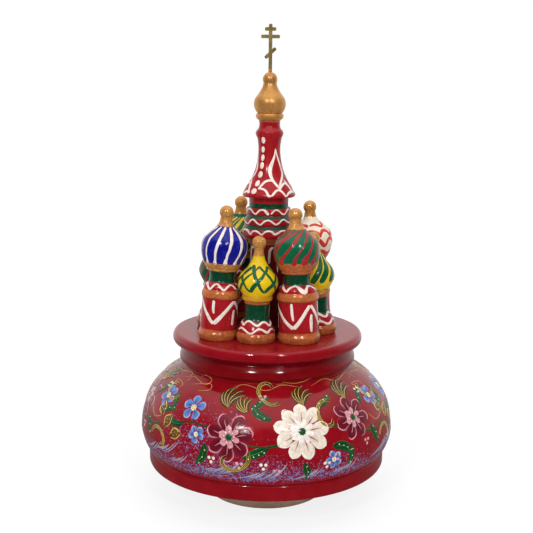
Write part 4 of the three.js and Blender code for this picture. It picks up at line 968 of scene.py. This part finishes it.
# Millimetres, and degrees: a square corner between faces turned by more than "square" is rounded
crossLook = {"corner": 0.6, "footHalf": 0.78, "footHigh": 1.3, "plainBelow": 3, "square": 80, "edge": 0.2}


# The cross keeps its plate's places. On a merged copy the bars' ends are rounded, the foot is drawn in, and the
# lowest stretch of the post is under the dome's paint
def cross():
    foot = high("gilded_dome")
    painted = foot + crossLook["footHigh"]
    merged = bmesh.new()
    merged.from_mesh(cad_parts["finial_cross"].data)
    bmesh.ops.remove_doubles(merged, verts=merged.verts, dist=0.02 * mm)
    bmesh.ops.dissolve_limit(merged, angle_limit=0.01, verts=merged.verts, edges=merged.edges)

    def roundedOff(edge):
        a, b = [vert.co for vert in edge.verts]
        sharp = edge.is_convex and edge.calc_face_angle(0) > math.radians(crossLook["square"])
        return sharp and abs((a - b).normalized().y) > 0.99 and a.z / mm > foot + crossLook["plainBelow"]
    bmesh.ops.bevel(merged, geom=[edge for edge in merged.edges if roundedOff(edge)], segments=6, profile=0.5,
                    offset=crossLook["corner"] * mm, affect="EDGES")
    bmesh.ops.bisect_plane(merged, geom=merged.verts[:] + merged.edges[:] + merged.faces[:], dist=1e-6,
                           plane_co=(0, 0, painted * mm), plane_no=(0, 0, 1))
    mesh = bpy.data.meshes.new("brassCross")
    merged.to_mesh(mesh)
    merged.free()
    places = np.zeros(3 * len(mesh.vertices))
    mesh.vertices.foreach_get("co", places)
    places = places.reshape(-1, 3)
    half = crossLook["footHalf"] * mm
    atFoot = places[:, 2] / mm < painted + 0.1
    places[atFoot, 0] = np.clip(places[atFoot, 0], -half, half)
    mesh.vertices.foreach_set("co", places.ravel())
    mesh.materials.append(metals["antiqueBrass"])
    mesh.materials.append(paints["gold"])
    centres = np.zeros(3 * len(mesh.polygons))
    mesh.polygons.foreach_get("center", centres)
    mesh.polygons.foreach_set("material_index", (centres[2::3] / mm < painted).astype(int))
    piece = newObject("brassCross", mesh)
    soft = piece.modifiers.new("soft", "BEVEL")
    soft.width = crossLook["edge"] * mm
    soft.segments = 2
    soft.limit_method = "ANGLE"
    soft.angle_limit = math.radians(50)
    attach(piece, "box")
    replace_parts(piece, "finial_cross")


column()
tiers()
tent()
gildedDome()
cross()
print("middle tower done")


# Box body

boxSizes = {"base": 51.6, "baseRim": 6.6, "belly": 54.8, "bellyFoot": 51.2, "waist": 9.6, "shoulder": 36.4,
            "shoulderHeight": 37, "neck": 38.1, "groove": 1.5, "wall": 4.6, "mouth": 32.7, "plate": 41}


def bellyProfile():
    s, z, top = boxSizes, bellyBottom, high("belly_shell")
    belly, waist, neck, mouth = s["belly"], z + s["waist"], s["neck"], s["mouth"]
    shoulder, neckLow = z + s["shoulderHeight"], z + s["shoulderHeight"] + 0.6
    return turnedProfile([s["bellyFoot"] + 0.2, z], [
        ["lacquer", "curve", [[s["bellyFoot"] + 0.6, z + 0.4], [belly - 1.95, z + 1.9], [belly - 1.15, z + 3.6],
                              [belly - 0.3, z + 6.6], [belly, waist], [belly - 0.95, waist + 7.2],
                              [belly - 3.67, waist + 14.4], [belly - 9.5, waist + 21.2],
                              [s["shoulder"] + 2.6, shoulder - 2], [s["shoulder"], shoulder]]],
        ["neck", "curve", [[neck - s["groove"], neckLow - 0.3], [neck - s["groove"], neckLow + 0.6]]],
        ["neck", "curve", [[neck - 0.3, neckLow + 0.95], [neck - 0.03, neckLow + 1.3], [neck, neckLow + 2],
                           [neck - 0.06, neckLow + 2.9], [neck - 0.3, neckLow + 3.8], [neck - 0.85, neckLow + 4.9],
                           [neck - 1.5, neckLow + 6]]],
        ["neck", "curve", [[neck - 1.75, top - 0.9], [neck - 1.8, top]]],
        ["lacquer", "line", [[mouth, top], [mouth, neckLow - 1.5]]],
        ["lacquer", "curve", [[mouth + 4, neckLow - 4.4], [belly - s["wall"] - 3.4, waist + 14.4],
                              [belly - s["wall"], waist], [s["bellyFoot"] - s["wall"], z + 2.4]]],
        ["lacquer", "line", [[s["bellyFoot"] - s["wall"], z], [s["bellyFoot"] + 0.2, z]]]], 0.5)


# How thickly the bowl is spattered, 0 to 1, at v mm above its foot: it sets in over 1.2 to 3.4 mm, thins out by
# about 13 mm (three sine waves round the bowl shift that edge) and climbs in three clouds beside the garland
def spatter(piece):
    mesh = piece.data
    points = np.zeros(len(mesh.vertices) * 3)
    mesh.vertices.foreach_get("co", points)
    x, y, z = points.reshape(-1, 3).T / mm
    u = np.arctan2(y, x)
    v = z - bellyBottom
    reach = 13 + 3.5 * np.sin(3 * u + 0.6) + 2 * np.sin(7 * u + 2) + 1.2 * np.sin(12 * u)
    foot = 0.74 * np.clip(1 - v / reach, 0, 1) ** 0.6 * np.clip((v - 1.2) / 2.2, 0, 1)
    side = np.clip(np.sin(3 * (u - np.radians(-29))) - 0.25, 0, 1)
    cloud = 0.62 * side * np.clip(1 - np.abs(v - 17) / 15, 0, 1) ** 0.7
    mist = 0.14 * np.clip(1 - v / 22, 0, 1)
    outside = (np.hypot(x, y) > boxSizes["neck"] + 0.6) * (v > 1)
    thick = np.clip(np.maximum(foot, cloud) + mist, 0, 1) * outside
    attribute = mesh.attributes.new("spatter", "FLOAT", "POINT")
    attribute.data.foreach_set("value", thick.astype(np.float32))


def belly():
    profile = bellyProfile()
    # The groove and neck bead take the darker neck lacquer, painted shade under the deck
    piece = turnedPiece("bellyShell", profile, {"lacquer": bowlLacquer, "neck": neckShadeLacquer}, 256, 0,
                        closedRing=True)
    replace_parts(piece, "belly_shell")
    spatter(piece)
    return profile


def plate():
    z, top, edge, mouth = high("belly_shell") + fit, deckHeight, boxSizes["plate"], boxSizes["mouth"] - fit
    profile = turnedProfile([0, low("top_plate")], [
        ["lacquer", "line", [[mouth, low("top_plate")], [mouth, z], [boxSizes["neck"] - 0.9, z]]],
        ["lacquer", "curve", [[edge - 3, z + 0.45], [edge - 1.9, z + 0.85]]],
        ["lacquer", "curve", [[edge - 1.1, z + 1.2], [edge - 0.4, z + 1.8], [edge - 0.06, z + 2.6], [edge, z + 3.6],
                              [edge - 0.15, z + 4.4], [edge - 0.5, z + 5.1], [edge - 1, z + 5.6],
                              [edge - 1.6, top]]],
        ["deck", "line", [[0, top]]]], 0.35)
    finishes = {"lacquer": paints["lacquer"], "deck": deckLacquer}
    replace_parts(turnedPiece("topPlate", profile, finishes, 256), "top_plate")


# A closed rod, to cut a round recess or hole with
def rodCutter(x, y, r, z0, z1, sides=32):
    t = np.arange(sides) * 2 * np.pi / sides
    ring = np.stack([x + r * np.cos(t), y + r * np.sin(t)], 1)
    points = np.vstack([np.column_stack([ring, np.full(sides, z)]) for z in (z0, z1)])
    i = np.arange(sides)
    faces = np.stack([i, np.roll(i, -1), np.roll(i, -1) + sides, i + sides], 1).tolist()
    return points, faces + [i[::-1].tolist(), (i + sides).tolist()]


# Radius and depth of the recesses under the board, and of the shaft's hole
boardCuts = {"movement_screw_%d": (2.6, 2.45), "base_screw_%d": (1.9, 1.85), "shaft": (2.7, 12)}


# The board's edge is the red ring; its underside keeps the screws' recesses and the shaft's hole
def baseBoard():
    z, edge, boardTop = boxBottom, boxSizes["base"], high("base_board")
    top, spigot = z + boxSizes["baseRim"], boxSizes["bellyFoot"] - boxSizes["wall"] - fit
    profile = turnedProfile([0, z], [
        ["lacquer", "line", [[edge - 0.8, z]]],
        ["lacquer", "curve", [[edge - 0.24, z + 0.22], [edge, z + 0.8]]],
        ["lacquer", "line", [[edge, top - 0.9]]],
        ["lacquer", "curve", [[edge - 0.25, top - 0.25], [edge - 0.9, top]]],
        ["lacquer", "line", [[spigot, top], [spigot, boardTop], [0, boardTop]]]], 0.5)
    piece = turnedPiece("baseBoard", profile, paints, 256)
    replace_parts(piece, "base_board")
    r, depth = boardCuts["shaft"]
    cuts = [rodCutter(0, 0, r, z - 3, z + depth)]
    for name in ("movement_screw_%d", "base_screw_%d"):
        r, depth = boardCuts[name]
        for k in (1, 2, 3):
            lowest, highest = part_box(name % k)
            x, y = (lowest[0] + highest[0]) / 2 / mm, (lowest[1] + highest[1]) / 2 / mm
            cuts.append(rodCutter(x, y, r, z - 3, z + depth))
    cutter = newObject("boardCuts", newMesh("boardCuts", *joined(cuts)))
    hollow = piece.modifiers.new("recesses", "BOOLEAN")
    hollow.operation = "DIFFERENCE"
    hollow.solver = "EXACT"
    hollow.object = cutter
    bpy.context.view_layer.update()
    cut = bpy.data.meshes.new_from_object(piece.evaluated_get(bpy.context.evaluated_depsgraph_get()))
    piece.modifiers.clear()
    piece.data = cut
    bpy.data.objects.remove(cutter)


def standDisc():
    r, top = 26.1, high("stand_disc")
    profile = turnedProfile([0, 0], [
        ["wood", "line", [[r - 0.6, 0]]], ["wood", "curve", [[r - 0.17, 0.2], [r, 0.6]]],
        ["wood", "line", [[r, top - 0.6]]], ["wood", "curve", [[r - 0.17, top - 0.2], [r - 0.6, top]]],
        ["wood", "line", [[0, top]]]], 0.4)
    wood = bareWood("bareLime", (0.88, 0.70, 0.50), (0.66, 0.48, 0.31))
    piece = turnedPiece("standDisc", profile, {"wood": wood}, 192, body="stand")
    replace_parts(piece, "stand_disc")


bellySurface = belly()


# Garland on the bowl: flowers, leaves and scrolls over the spatter, three repeats round. Lengths are in
# millimetres. The girth is the bowl's radius where the flowers stand, the middle their length up the outline.

garland = {"repeats": 3, "firstFlower": -74.5, "middle": 23.3, "girth": 52, "petalLift": 0.13,
           "lineLift": 0.17, "dotLift": 0.2}

# Each oil colour at the stroke's start, at its tip and along its edges, linear
oil = {
    "cream": [(0.52, 0.33, 0.25), (0.84, 0.74, 0.62), (0.90, 0.84, 0.76)],
    "white": [(0.72, 0.62, 0.56), (0.88, 0.82, 0.76), (0.88, 0.82, 0.76)],
    "maroon": [(0.035, 0.001, 0.004), (0.16, 0.003, 0.016), (0.26, 0.02, 0.045)],
    "pink": [(0.30, 0.03, 0.08), (0.72, 0.34, 0.38), (0.78, 0.52, 0.52)],
    "green": [(0.004, 0.03, 0.008), (0.006, 0.075, 0.016), (0.008, 0.11, 0.026)],
    "lime": [(0.02, 0.16, 0.03), (0.10, 0.30, 0.06), (0.10, 0.30, 0.06)],
    "bark": [(0.022, 0.010, 0.003), (0.06, 0.024, 0.006), (0.10, 0.045, 0.010)],
    "umber": [(0.075, 0.026, 0.006), (0.17, 0.065, 0.012), (0.24, 0.10, 0.02)],
    "straw": [(0.62, 0.38, 0.06), (0.78, 0.56, 0.14), (0.80, 0.60, 0.18)],
    "goldLine": [(0.60, 0.27, 0.05), (0.70, 0.36, 0.08), (0.70, 0.36, 0.08)],
    "blue": [(0.02, 0.06, 0.26), (0.10, 0.22, 0.56), (0.20, 0.34, 0.66)],
    "sky": [(0.22, 0.30, 0.50), (0.44, 0.50, 0.68), (0.44, 0.50, 0.68)],
    "frost": [(0.20, 0.22, 0.36), (0.40, 0.40, 0.50), (0.44, 0.44, 0.54)],
}
garlandChunks = []


# Brush widths along a stroke, with t from 0 to 1. This one is width * sin(pi t^k)^power, with k set so that the
# brush is widest at t = fullest
def fullWidth(width, fullest=0.6, power=0.65):
    k = math.log(0.5) / math.log(fullest)
    return lambda t: np.maximum(width * np.sin(np.pi * np.clip(t, 0, 1) ** k) ** power, leastWidth)


# width * sqrt(min(t, 1 - t) / tip), level in the middle
def lineWidth(width, tip=0.25):
    return lambda t: np.maximum(width * np.sqrt(np.clip(np.minimum(t, 1 - t) / tip, 0, 1)), leastWidth)


# Angle and length along the outline of a place beside a spot, whose x runs round the bowl and y up its outline
# in millimetres, turned, sized and set at the spot
def bowlPlace(spot, x, y):
    turn, size, x = math.radians(spot["turn"]), spot["size"], x * spot["flip"]
    x, y = size * (x * math.cos(turn) - y * math.sin(turn)), size * (x * math.sin(turn) + y * math.cos(turn))
    v = spot["v"] + y
    return math.radians(spot["u"]) + x / np.interp(v, bellySurface["s"], bellySurface["r"]), v


# A stroke on the bowl. Its colour runs from the first to the second along it, and to the third at its edges.
def bowlStroke(spot, points, width, oils, lift=garland["petalLift"], count=18):
    path = curveThrough(points, 0.4)
    run = np.concatenate([[0], np.cumsum(np.hypot(*np.diff(path, axis=0).T))])
    t = np.linspace(0, 1, count)
    u, v = bowlPlace(spot, np.interp(t * run[-1], run, path[:, 0]), np.interp(t * run[-1], run, path[:, 1]))
    points, faces = brushStroke(bellySurface, u, v, width(t) * spot["size"], lift)
    start, tip, edge = [np.array(c) for c in oil[oils]]
    across = np.abs(ribbon["across"]) ** 3
    along = (start + (tip - start) * t[:, None] ** 0.7)[:, None, :]
    tone = along + (edge - along) * across[None, :, None] * 0.8
    garlandChunks.append((points, faces, tone.reshape(-1, 3)))


# A thin stroke on top of another
def fineStroke(spot, points, width, oils, count):
    bowlStroke(spot, points, width, oils, garland["lineLift"], count)


def bowlDot(spot, x, y, radius, oils, sides=6):
    u, v = bowlPlace(spot, x, y)
    points, faces = paintDot(bellySurface, u, v, radius * spot["size"], 1.0, garland["dotLift"], sides)
    garlandChunks.append((points, faces, np.tile(np.array(oil[oils][1]), (len(points), 1))))


def spun(x, y, degrees):
    t = math.radians(degrees)
    return [x * math.cos(t) - y * math.sin(t), x * math.sin(t) + y * math.cos(t)]


# Petals: teardrops round the heart, each with a pale line down one side and a shaded one from the heart, then
# a ring of small inner petals and beads round the heart
def blossom(spot, petals, radius, width, oils, edgeOils, heart, inner=0):
    for k in range(petals):
        a = 360 * k / petals + rng.uniform(-4, 4)
        reach = radius * rng.uniform(0.92, 1.06)
        bend = rng.uniform(-0.5, 0.5)
        bowlStroke(spot, [spun(0.12 * reach, 0, a), spun(0.5 * reach, bend, a), spun(reach, 0.3 * bend, a)],
                   fullWidth(width, 0.68, 0.6), oils)
    for k in range(petals):
        a = 360 * k / petals
        side = 0.40 * width
        fineStroke(spot, [spun(0.42 * radius, side * 0.75, a), spun(0.74 * radius, side * 1.05, a),
                          spun(0.97 * radius, 0.30 * side, a), spun(0.93 * radius, -0.5 * side, a)],
                   lineWidth(0.55), edgeOils, 12)
        fineStroke(spot, [spun(0.3 * radius, -0.1, a), spun(0.55 * radius, 0.1, a), spun(0.72 * radius, 0.0, a)],
                   fullWidth(0.55, 0.3), "maroon" if oils != "maroon" else "pink", 8)
    for k in range(inner):
        a = 360 * (k + 0.5) / inner
        fineStroke(spot, [spun(0.05 * radius, 0, a), spun(0.25 * radius, 0.15, a), spun(0.46 * radius, 0, a)],
                   fullWidth(0.55 * width, 0.6, 0.6), edgeOils, 10)
    bowlDot(spot, 0, 0, 0.19 * radius, heart, 14)
    for k in range(9):
        bowlDot(spot, *spun(0.21 * radius, 0, 40 * k), 0.36, "white")
    bowlDot(spot, 0, 0.1, 0.45, "white")


def leaf(spot, length, width, bend, beads):
    rise = 0.9 * bend + 0.35 * abs(bend)
    bowlStroke(spot, [[0, 0], [0.5 * length, rise], [length, bend]], fullWidth(width, 0.45, 0.7), "green")
    fineStroke(spot, [[0.08 * length, 0.1 * bend], [0.5 * length, rise], [0.9 * length, 0.97 * bend]],
               lineWidth(0.34), "lime", 10)
    for k in range(beads):
        t = 0.22 + 0.6 * k / max(beads - 1, 1)
        y = 2 * (1 - t) * t * rise * 1.1 + t * t * bend
        bowlDot(spot, t * length, y + 0.2 * width, 0.34, "white")


# A rolled scroll, dark under three pale lines: over 330 degrees its path winds in to 0.38 of its first reach
def scroll(spot, size):
    t = np.linspace(0, 1, 9)
    angle = np.radians(200 - 330 * t)
    reach = size * (1 - 0.62 * t)

    def rolled(off):
        return np.stack([(reach + off) * np.cos(angle) + 0.55 * size * t + size,
                         (reach + off) * np.sin(angle) * 0.85], 1).tolist()
    bowlStroke(spot, rolled(0), fullWidth(0.42 * size, 0.32, 0.6), "bark", count=26)
    for k in range(3):
        fineStroke(spot, rolled((k - 1) * 0.11 * size)[:-1 - k % 2], lineWidth(0.36, 0.3), "straw", 22)


# A fan of five curved feathers
def plume(spot, size):
    for k in range(5):
        a = -34 + 17 * k
        reach = size * (1 - 0.12 * abs(k - 2))
        path = [spun(0, 0, a), spun(0.45 * reach, 0.10 * reach, a), spun(0.85 * reach, -0.02 * reach, a),
                spun(reach, -0.22 * reach, a)]
        bowlStroke(spot, path, fullWidth(0.24 * size, 0.5, 0.6), "bark", count=14)
        fineStroke(spot, [[x * 0.96 + 0.1, y * 0.96 + 0.25] for x, y in path], lineWidth(0.4, 0.35), "straw", 12)


# A fan of short pale strokes, each a little steeper than the last
def hatch(spot, strokes, length):
    for k in range(strokes):
        x, y = 1.25 * k + rng.uniform(-0.3, 0.3), rng.uniform(-0.5, 0.5)
        reach, slope = length * rng.uniform(0.6, 1.1), 0.32 + 0.5 * k / strokes
        path = [[x, y], [x + 0.5 * reach, y + 0.42 * slope * reach], [x + 0.9 * reach, y + slope * reach]]
        bowlStroke(spot, path, lineWidth(0.5, 0.5), "frost", 0.1, 9)


# A seed pod, brown with pale rims and a zigzag of seeds
def pod(spot):
    bowlStroke(spot, [[0, 0], [3.5, 0.8], [7, 0.4]], fullWidth(4.4, 0.5, 0.6), "umber", count=14)
    fineStroke(spot, [[0.3, 0.5], [3.2, 2.9], [6.8, 0.8]], lineWidth(0.5), "straw", 12)
    fineStroke(spot, [[0.3, -0.3], [3.6, -1.4], [6.8, 0.2]], lineWidth(0.4), "straw", 12)
    for k in range(5):
        bowlDot(spot, 1.8 + 0.9 * k, 0.7 + 0.5 * (-1) ** k, 0.28, "straw")


# Where everything in one repeat stands: x and y in millimetres from the large pale flower, then the turn
bed = {
    "leaves": [                                             # length, width, bend, white beads
        (-13, -6, 215, 11, 4.2, -2.2, 4), (-12, 5, 130, 10, 3.8, 2.0, 3), (12, -7, -40, 11, 4.2, 2.4, 4),
        (9, 9, 40, 9, 3.4, -1.6, 3), (-38, -6, 235, 10, 3.8, 2, 3), (-20, 9, 60, 8.5, 3.2, -1.6, 3),
        (34, -3, -50, 10, 3.8, -2.2, 3), (33, 6, 35, 9, 3.4, 2, 3), (-50, -1, 160, 8.5, 3.2, 1.8, 0),
        (0, -12, -90, 8, 3.2, 1.4, 3), (44, 0, 10, 9, 3.4, 2.0, 3), (-58, 4, 120, 7.5, 3, -1.2, 0),
        (21, -8, -110, 8.5, 3.2, 1.2, 3)],
    "scrolls": [(-20, -9, 200, 6.0, 1), (15, 12, 70, 6.0, -1), (-10, 11, 110, 6.0, 1), (40, -8, -20, 5.4, 1),
                (-60, 8, 150, 5, 1)],                       # size, flip
    "plumes": [(-31, 9, 95, 11), (26, 10, 80, 11), (3, 10.5, 88, 10), (-22, 8, 125, 8)],
    "flowers": [                                            # petals, radius, width, colours, inner petals
        (-28.5, -2.5, 10, 7, 9.8, 6.4, "maroon", "pink", "green", 6),
        (24.5, 2.0, -12, 7, 9.2, 6.0, "maroon", "pink", "green", 6),
        (0, 0, 4, 9, 11.2, 6.0, "cream", "white", "green", 8),
        (-47.5, 6.5, 20, 5, 5.4, 4.2, "blue", "sky", "straw"),
        (-42.5, -3.5, 50, 5, 3.5, 2.8, "blue", "sky", "straw"),
        (12.5, -12.5, 35, 5, 3.6, 2.9, "blue", "sky", "straw"),
        (42.5, 7.5, -20, 5, 4.8, 3.8, "blue", "sky", "straw")],
    "pods": [(-60, -5, 60), (-56, -7.5, 20), (-63, -1, 110)],
    "berries": [(-15, -13), (-10, -15.5), (9.5, -14), (14, -11.5), (30, -9), (-24, -13), (-35, -12), (37, 12),
                (-16, 15)],
    "tendrils": [
        [[-50, 14], [-45, 17.5], [-38, 15.5], [-34, 18.5], [-38, 20], [-40, 18.3]],
        [[-26, 15.5], [-19, 18.6], [-11, 16.2], [-4, 18.8], [3, 17.2]],
        [[8, 17], [15, 19.3], [22, 17.0], [30, 18.8], [33, 16.6], [30, 15.6]],
        [[-4, 20.5], [2, 19.2], [9, 20.8]], [[-60, 9], [-57, 13], [-52, 12.2], [-54, 10.2]],
        [[40, 13.5], [46, 16.5], [51, 13.5], [48, 11.6]], [[34, -1], [40, -5], [45, -3.5], [43, -1.5]]],
    "hatches": [(-39, -17.5, 9, 8), (-25, -19, 11, 9), (-4, -19, 7, 6), (33, -17, 8, 9.5), (44, -15, 6, 9),
                (12, -18.5, 7, 6), (-56, -17, 6, 6.5)],     # strokes, length; these aren't turned
}


def garlandRepeat(number):
    heart = garland["firstFlower"] + number * 360 / garland["repeats"]
    perDegree = math.radians(garland["girth"])

    def at(x, y, turn=0, flip=1):
        return {"u": heart + x / perDegree, "v": garland["middle"] + y, "turn": turn, "size": 1, "flip": flip}

    stem = np.linspace(-62, 47, 15)                          # the winding stem first, then what grows on it
    wave = 3.2 * np.sin(np.radians(stem * 6.6 + 20)) - 2.5
    stemPath = np.stack([stem, wave], 1).tolist()
    bowlStroke(at(0, 0), stemPath, lambda t: 0.9 + 0.25 * np.sin(30 * t), "green", 0.07, 110)
    for x, y, turn, *shape in bed["leaves"]:
        leaf(at(x, y, turn), *shape)
    for x, y, turn, size, flip in bed["scrolls"]:
        scroll(at(x, y, turn, flip), size)
    for x, y, turn, size in bed["plumes"]:
        plume(at(x, y, turn), size)
    for x, y, turn, *shape in bed["flowers"]:
        blossom(at(x, y, turn), *shape)
    for place in bed["pods"]:
        pod(at(*place))
    for x, y in bed["berries"]:
        for k in range(3):
            bowlDot(at(x, y), *spun(1.1, 0, 120 * k + 30), 0.72, "cream" if x % 2 else "pink", 9)
    for path in bed["tendrils"]:
        bowlStroke(at(0, 2.4), path, lineWidth(0.27, 0.2), "goldLine", 0.12, 34)
    for x, y, *shape in bed["hatches"]:
        hatch(at(x, y), *shape)


def garlandObject(name, chunks):
    points, faces = joined(chunks)
    piece = newPiece(name, points, faces, [oilPaint])
    tone = np.vstack([chunk[2] for chunk in chunks])
    attribute = piece.data.attributes.new("paint", "FLOAT_COLOR", "POINT")
    attribute.data.foreach_set("color", np.column_stack([tone, np.ones(len(tone))]).ravel())


for number in range(garland["repeats"]):
    garlandChunks.clear()
    garlandRepeat(number)
    garlandObject("bowlGarland%d" % (number + 1), garlandChunks)
print("garland painted")

plate()
baseBoard()
standDisc()
print("box body done")


# Movement: the CAD pieces keep their shapes and get their metals

movementFinish = {
    "brass": ["great_wheel", "pinned_cylinder", "cylinder_pinion", "cylinder_gear", "comb_screw_1", "comb_screw_2"],
    "steel": ["winding_shaft", "shaft_flange", "flange_screw_1", "flange_screw_2", "comb", "cylinder_arbor",
              "governor_pinion", "worm", "movement_screw_1", "movement_screw_2", "movement_screw_3", "base_screw_1",
              "base_screw_2", "base_screw_3", "housing_screw_1", "housing_screw_2", "housing_screw_3"],
    "zinc": ["movement_bedplate", "spring_housing", "governor_frame", "cylinder_bearing"],
    "nylon": ["worm_wheel", "air_brake", "thrust_washer"],
    "springSteel": ["mainspring"],
}
for finish, nodeNames in movementFinish.items():
    for nodeName in nodeNames:
        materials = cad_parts[nodeName].data.materials
        materials.clear()
        materials.append(metals[finish])
print("movement finished")


# Studio: white paper under and behind, a dimmer room in front, and small soft lamps. A lamp has its place, size
# and power, and says whether it shines in the gloss or only lights the matt colour.

studio = {
    "paper": 0.8, "paperGlow": 0.84, "paperShadow": 0.16, "fadeFrom": 0.16, "fadeTo": 0.5, "white": 1.02,
    "front": 0.02, "behind": 0.9, "ceiling": 1.0, "fill": (0.22, 0.74), "floorHalf": 4, "aim": (0, 0, 0.09),
    "lamps": {"keyLamp": ((-0.30, -0.80, 0.62), 0.08, 2.4, True),
              "sideLamp": ((0.26, -0.80, 0.62), 0.08, 2.0, True),
              "topLamp": ((0.0, -0.15, 1.1), 0.9, 5.0, False)}}


# To the camera the paper glows white and takes a faint shadow. To gloss it is dim in front and white behind,
# and to all other light it is plain pale paper.
def paperMaterial():
    paper, tree, shader = newMaterial("studioPaper")
    tree.nodes.remove(shader)
    place = objectPlace(tree)
    away = add(tree, "VectorMath", {0: place}, "Value", operation="LENGTH")
    glow = spread(tree, away, studio["fadeFrom"], studio["fadeTo"], studio["paperGlow"], studio["white"])
    y = add(tree, "SeparateXYZ", {"Vector": place}, "Y")
    depth = spread(tree, y, -0.1, 0.5, studio["front"], studio["behind"])
    plain, faint = [add(tree, "BsdfDiffuse", {"Color": (*[studio[key]] * 3, 1)})
                    for key in ("paper", "paperShadow")]
    rays = add(tree, "LightPath").node.outputs
    mirrored = add(tree, "Emission", {"Strength": depth})
    seen = add(tree, "AddShader", {0: add(tree, "Emission", {"Strength": glow}), 1: faint})
    unseen = add(tree, "MixShader", {0: rays["Is Glossy Ray"], 1: plain, 2: mirrored})
    either = add(tree, "MixShader", {0: rays["Is Camera Ray"], 1: unseen, 2: seen})
    feed(tree, tree.nodes["Material Output"], {"Surface": either})
    return paper


# The world is white to the camera. Gloss sees it white behind the box and dim in front, by a smooth step in y,
# under a white ceiling, by one in z. Matt surfaces get a soft fill, more of it from above.
def surroundings():
    world = bpy.data.worlds.new("studioWorld")
    bpy.context.scene.world = world
    world.use_nodes = True
    tree = world.node_tree
    split = add(tree, "SeparateXYZ", {"Vector": add(tree, "TexCoord", out="Generated")}).node.outputs
    depth = spread(tree, split["Y"], -0.35, 0.75, studio["front"], studio["behind"], "SMOOTHSTEP")
    above = spread(tree, split["Z"], 0.5, 0.9, 0, studio["ceiling"], "SMOOTHSTEP")
    fill = spread(tree, split["Z"], -0.2, 1, *studio["fill"])
    rays = add(tree, "LightPath").node.outputs
    mirror = arithmetic(tree, "MAXIMUM", rays["Is Glossy Ray"], rays["Is Transmission Ray"])
    level = add(tree, "Mix", {0: mirror, 2: fill, 3: arithmetic(tree, "MAXIMUM", depth, above)})
    seen = add(tree, "Mix", {0: rays["Is Camera Ray"], 2: level, 3: 1.0})
    feed(tree, tree.nodes["Background"], {"Color": (1, 1, 1, 1), "Strength": seen})


def setStudio():
    half = studio["floorHalf"]
    floorMesh = bpy.data.meshes.new("studioFloor")
    floorMesh.from_pydata([(-half, -half, 0), (half, -half, 0), (half, half, 0), (-half, half, 0)], [],
                          [(0, 1, 2, 3)])
    floorMesh.materials.append(paperMaterial())
    newObject("studioFloor", floorMesh)
    surroundings()
    for name, (place, size, power, shines) in studio["lamps"].items():
        data = bpy.data.lights.new(name, "AREA")
        data.size, data.energy = size, power
        lamp = newObject(name, data)
        lamp.visible_glossy = shines
        lamp.location = place
        aim = np.array(studio["aim"]) - np.array(place)
        aim /= np.linalg.norm(aim)
        lamp.rotation_euler = (math.acos(-aim[2]), 0, math.atan2(-aim[0], aim[1]))
    bpy.context.scene.view_settings.view_transform = "Standard"


# The photograph's view in metres, degrees and, for its focal length, width and sideways shift, pixels
photoView = {"distance": 0.385, "height": 0.1669, "tip": 9.94, "roll": 0.62, "focal": 905, "frame": 533,
             "shift": 1.6}
filmWidth = 36


# Roll turns the camera about its own line of sight before it is tipped down
def camera():
    data = bpy.data.cameras.new("photoCamera")
    data.sensor_width = filmWidth
    data.lens = filmWidth * photoView["focal"] / photoView["frame"]
    data.shift_x = -photoView["shift"] / photoView["frame"]
    data.clip_start = 0.01
    view = newObject("photoCamera", data)
    view.location = (0, -photoView["distance"], photoView["height"])
    turn = turnAbout((1, 0, 0), 90 - photoView["tip"]) @ turnAbout((0, 0, 1), photoView["roll"])
    view.rotation_euler = Matrix(turn.tolist()).to_euler()
    bpy.context.scene.camera = view


setStudio()
camera()
print("studio set")
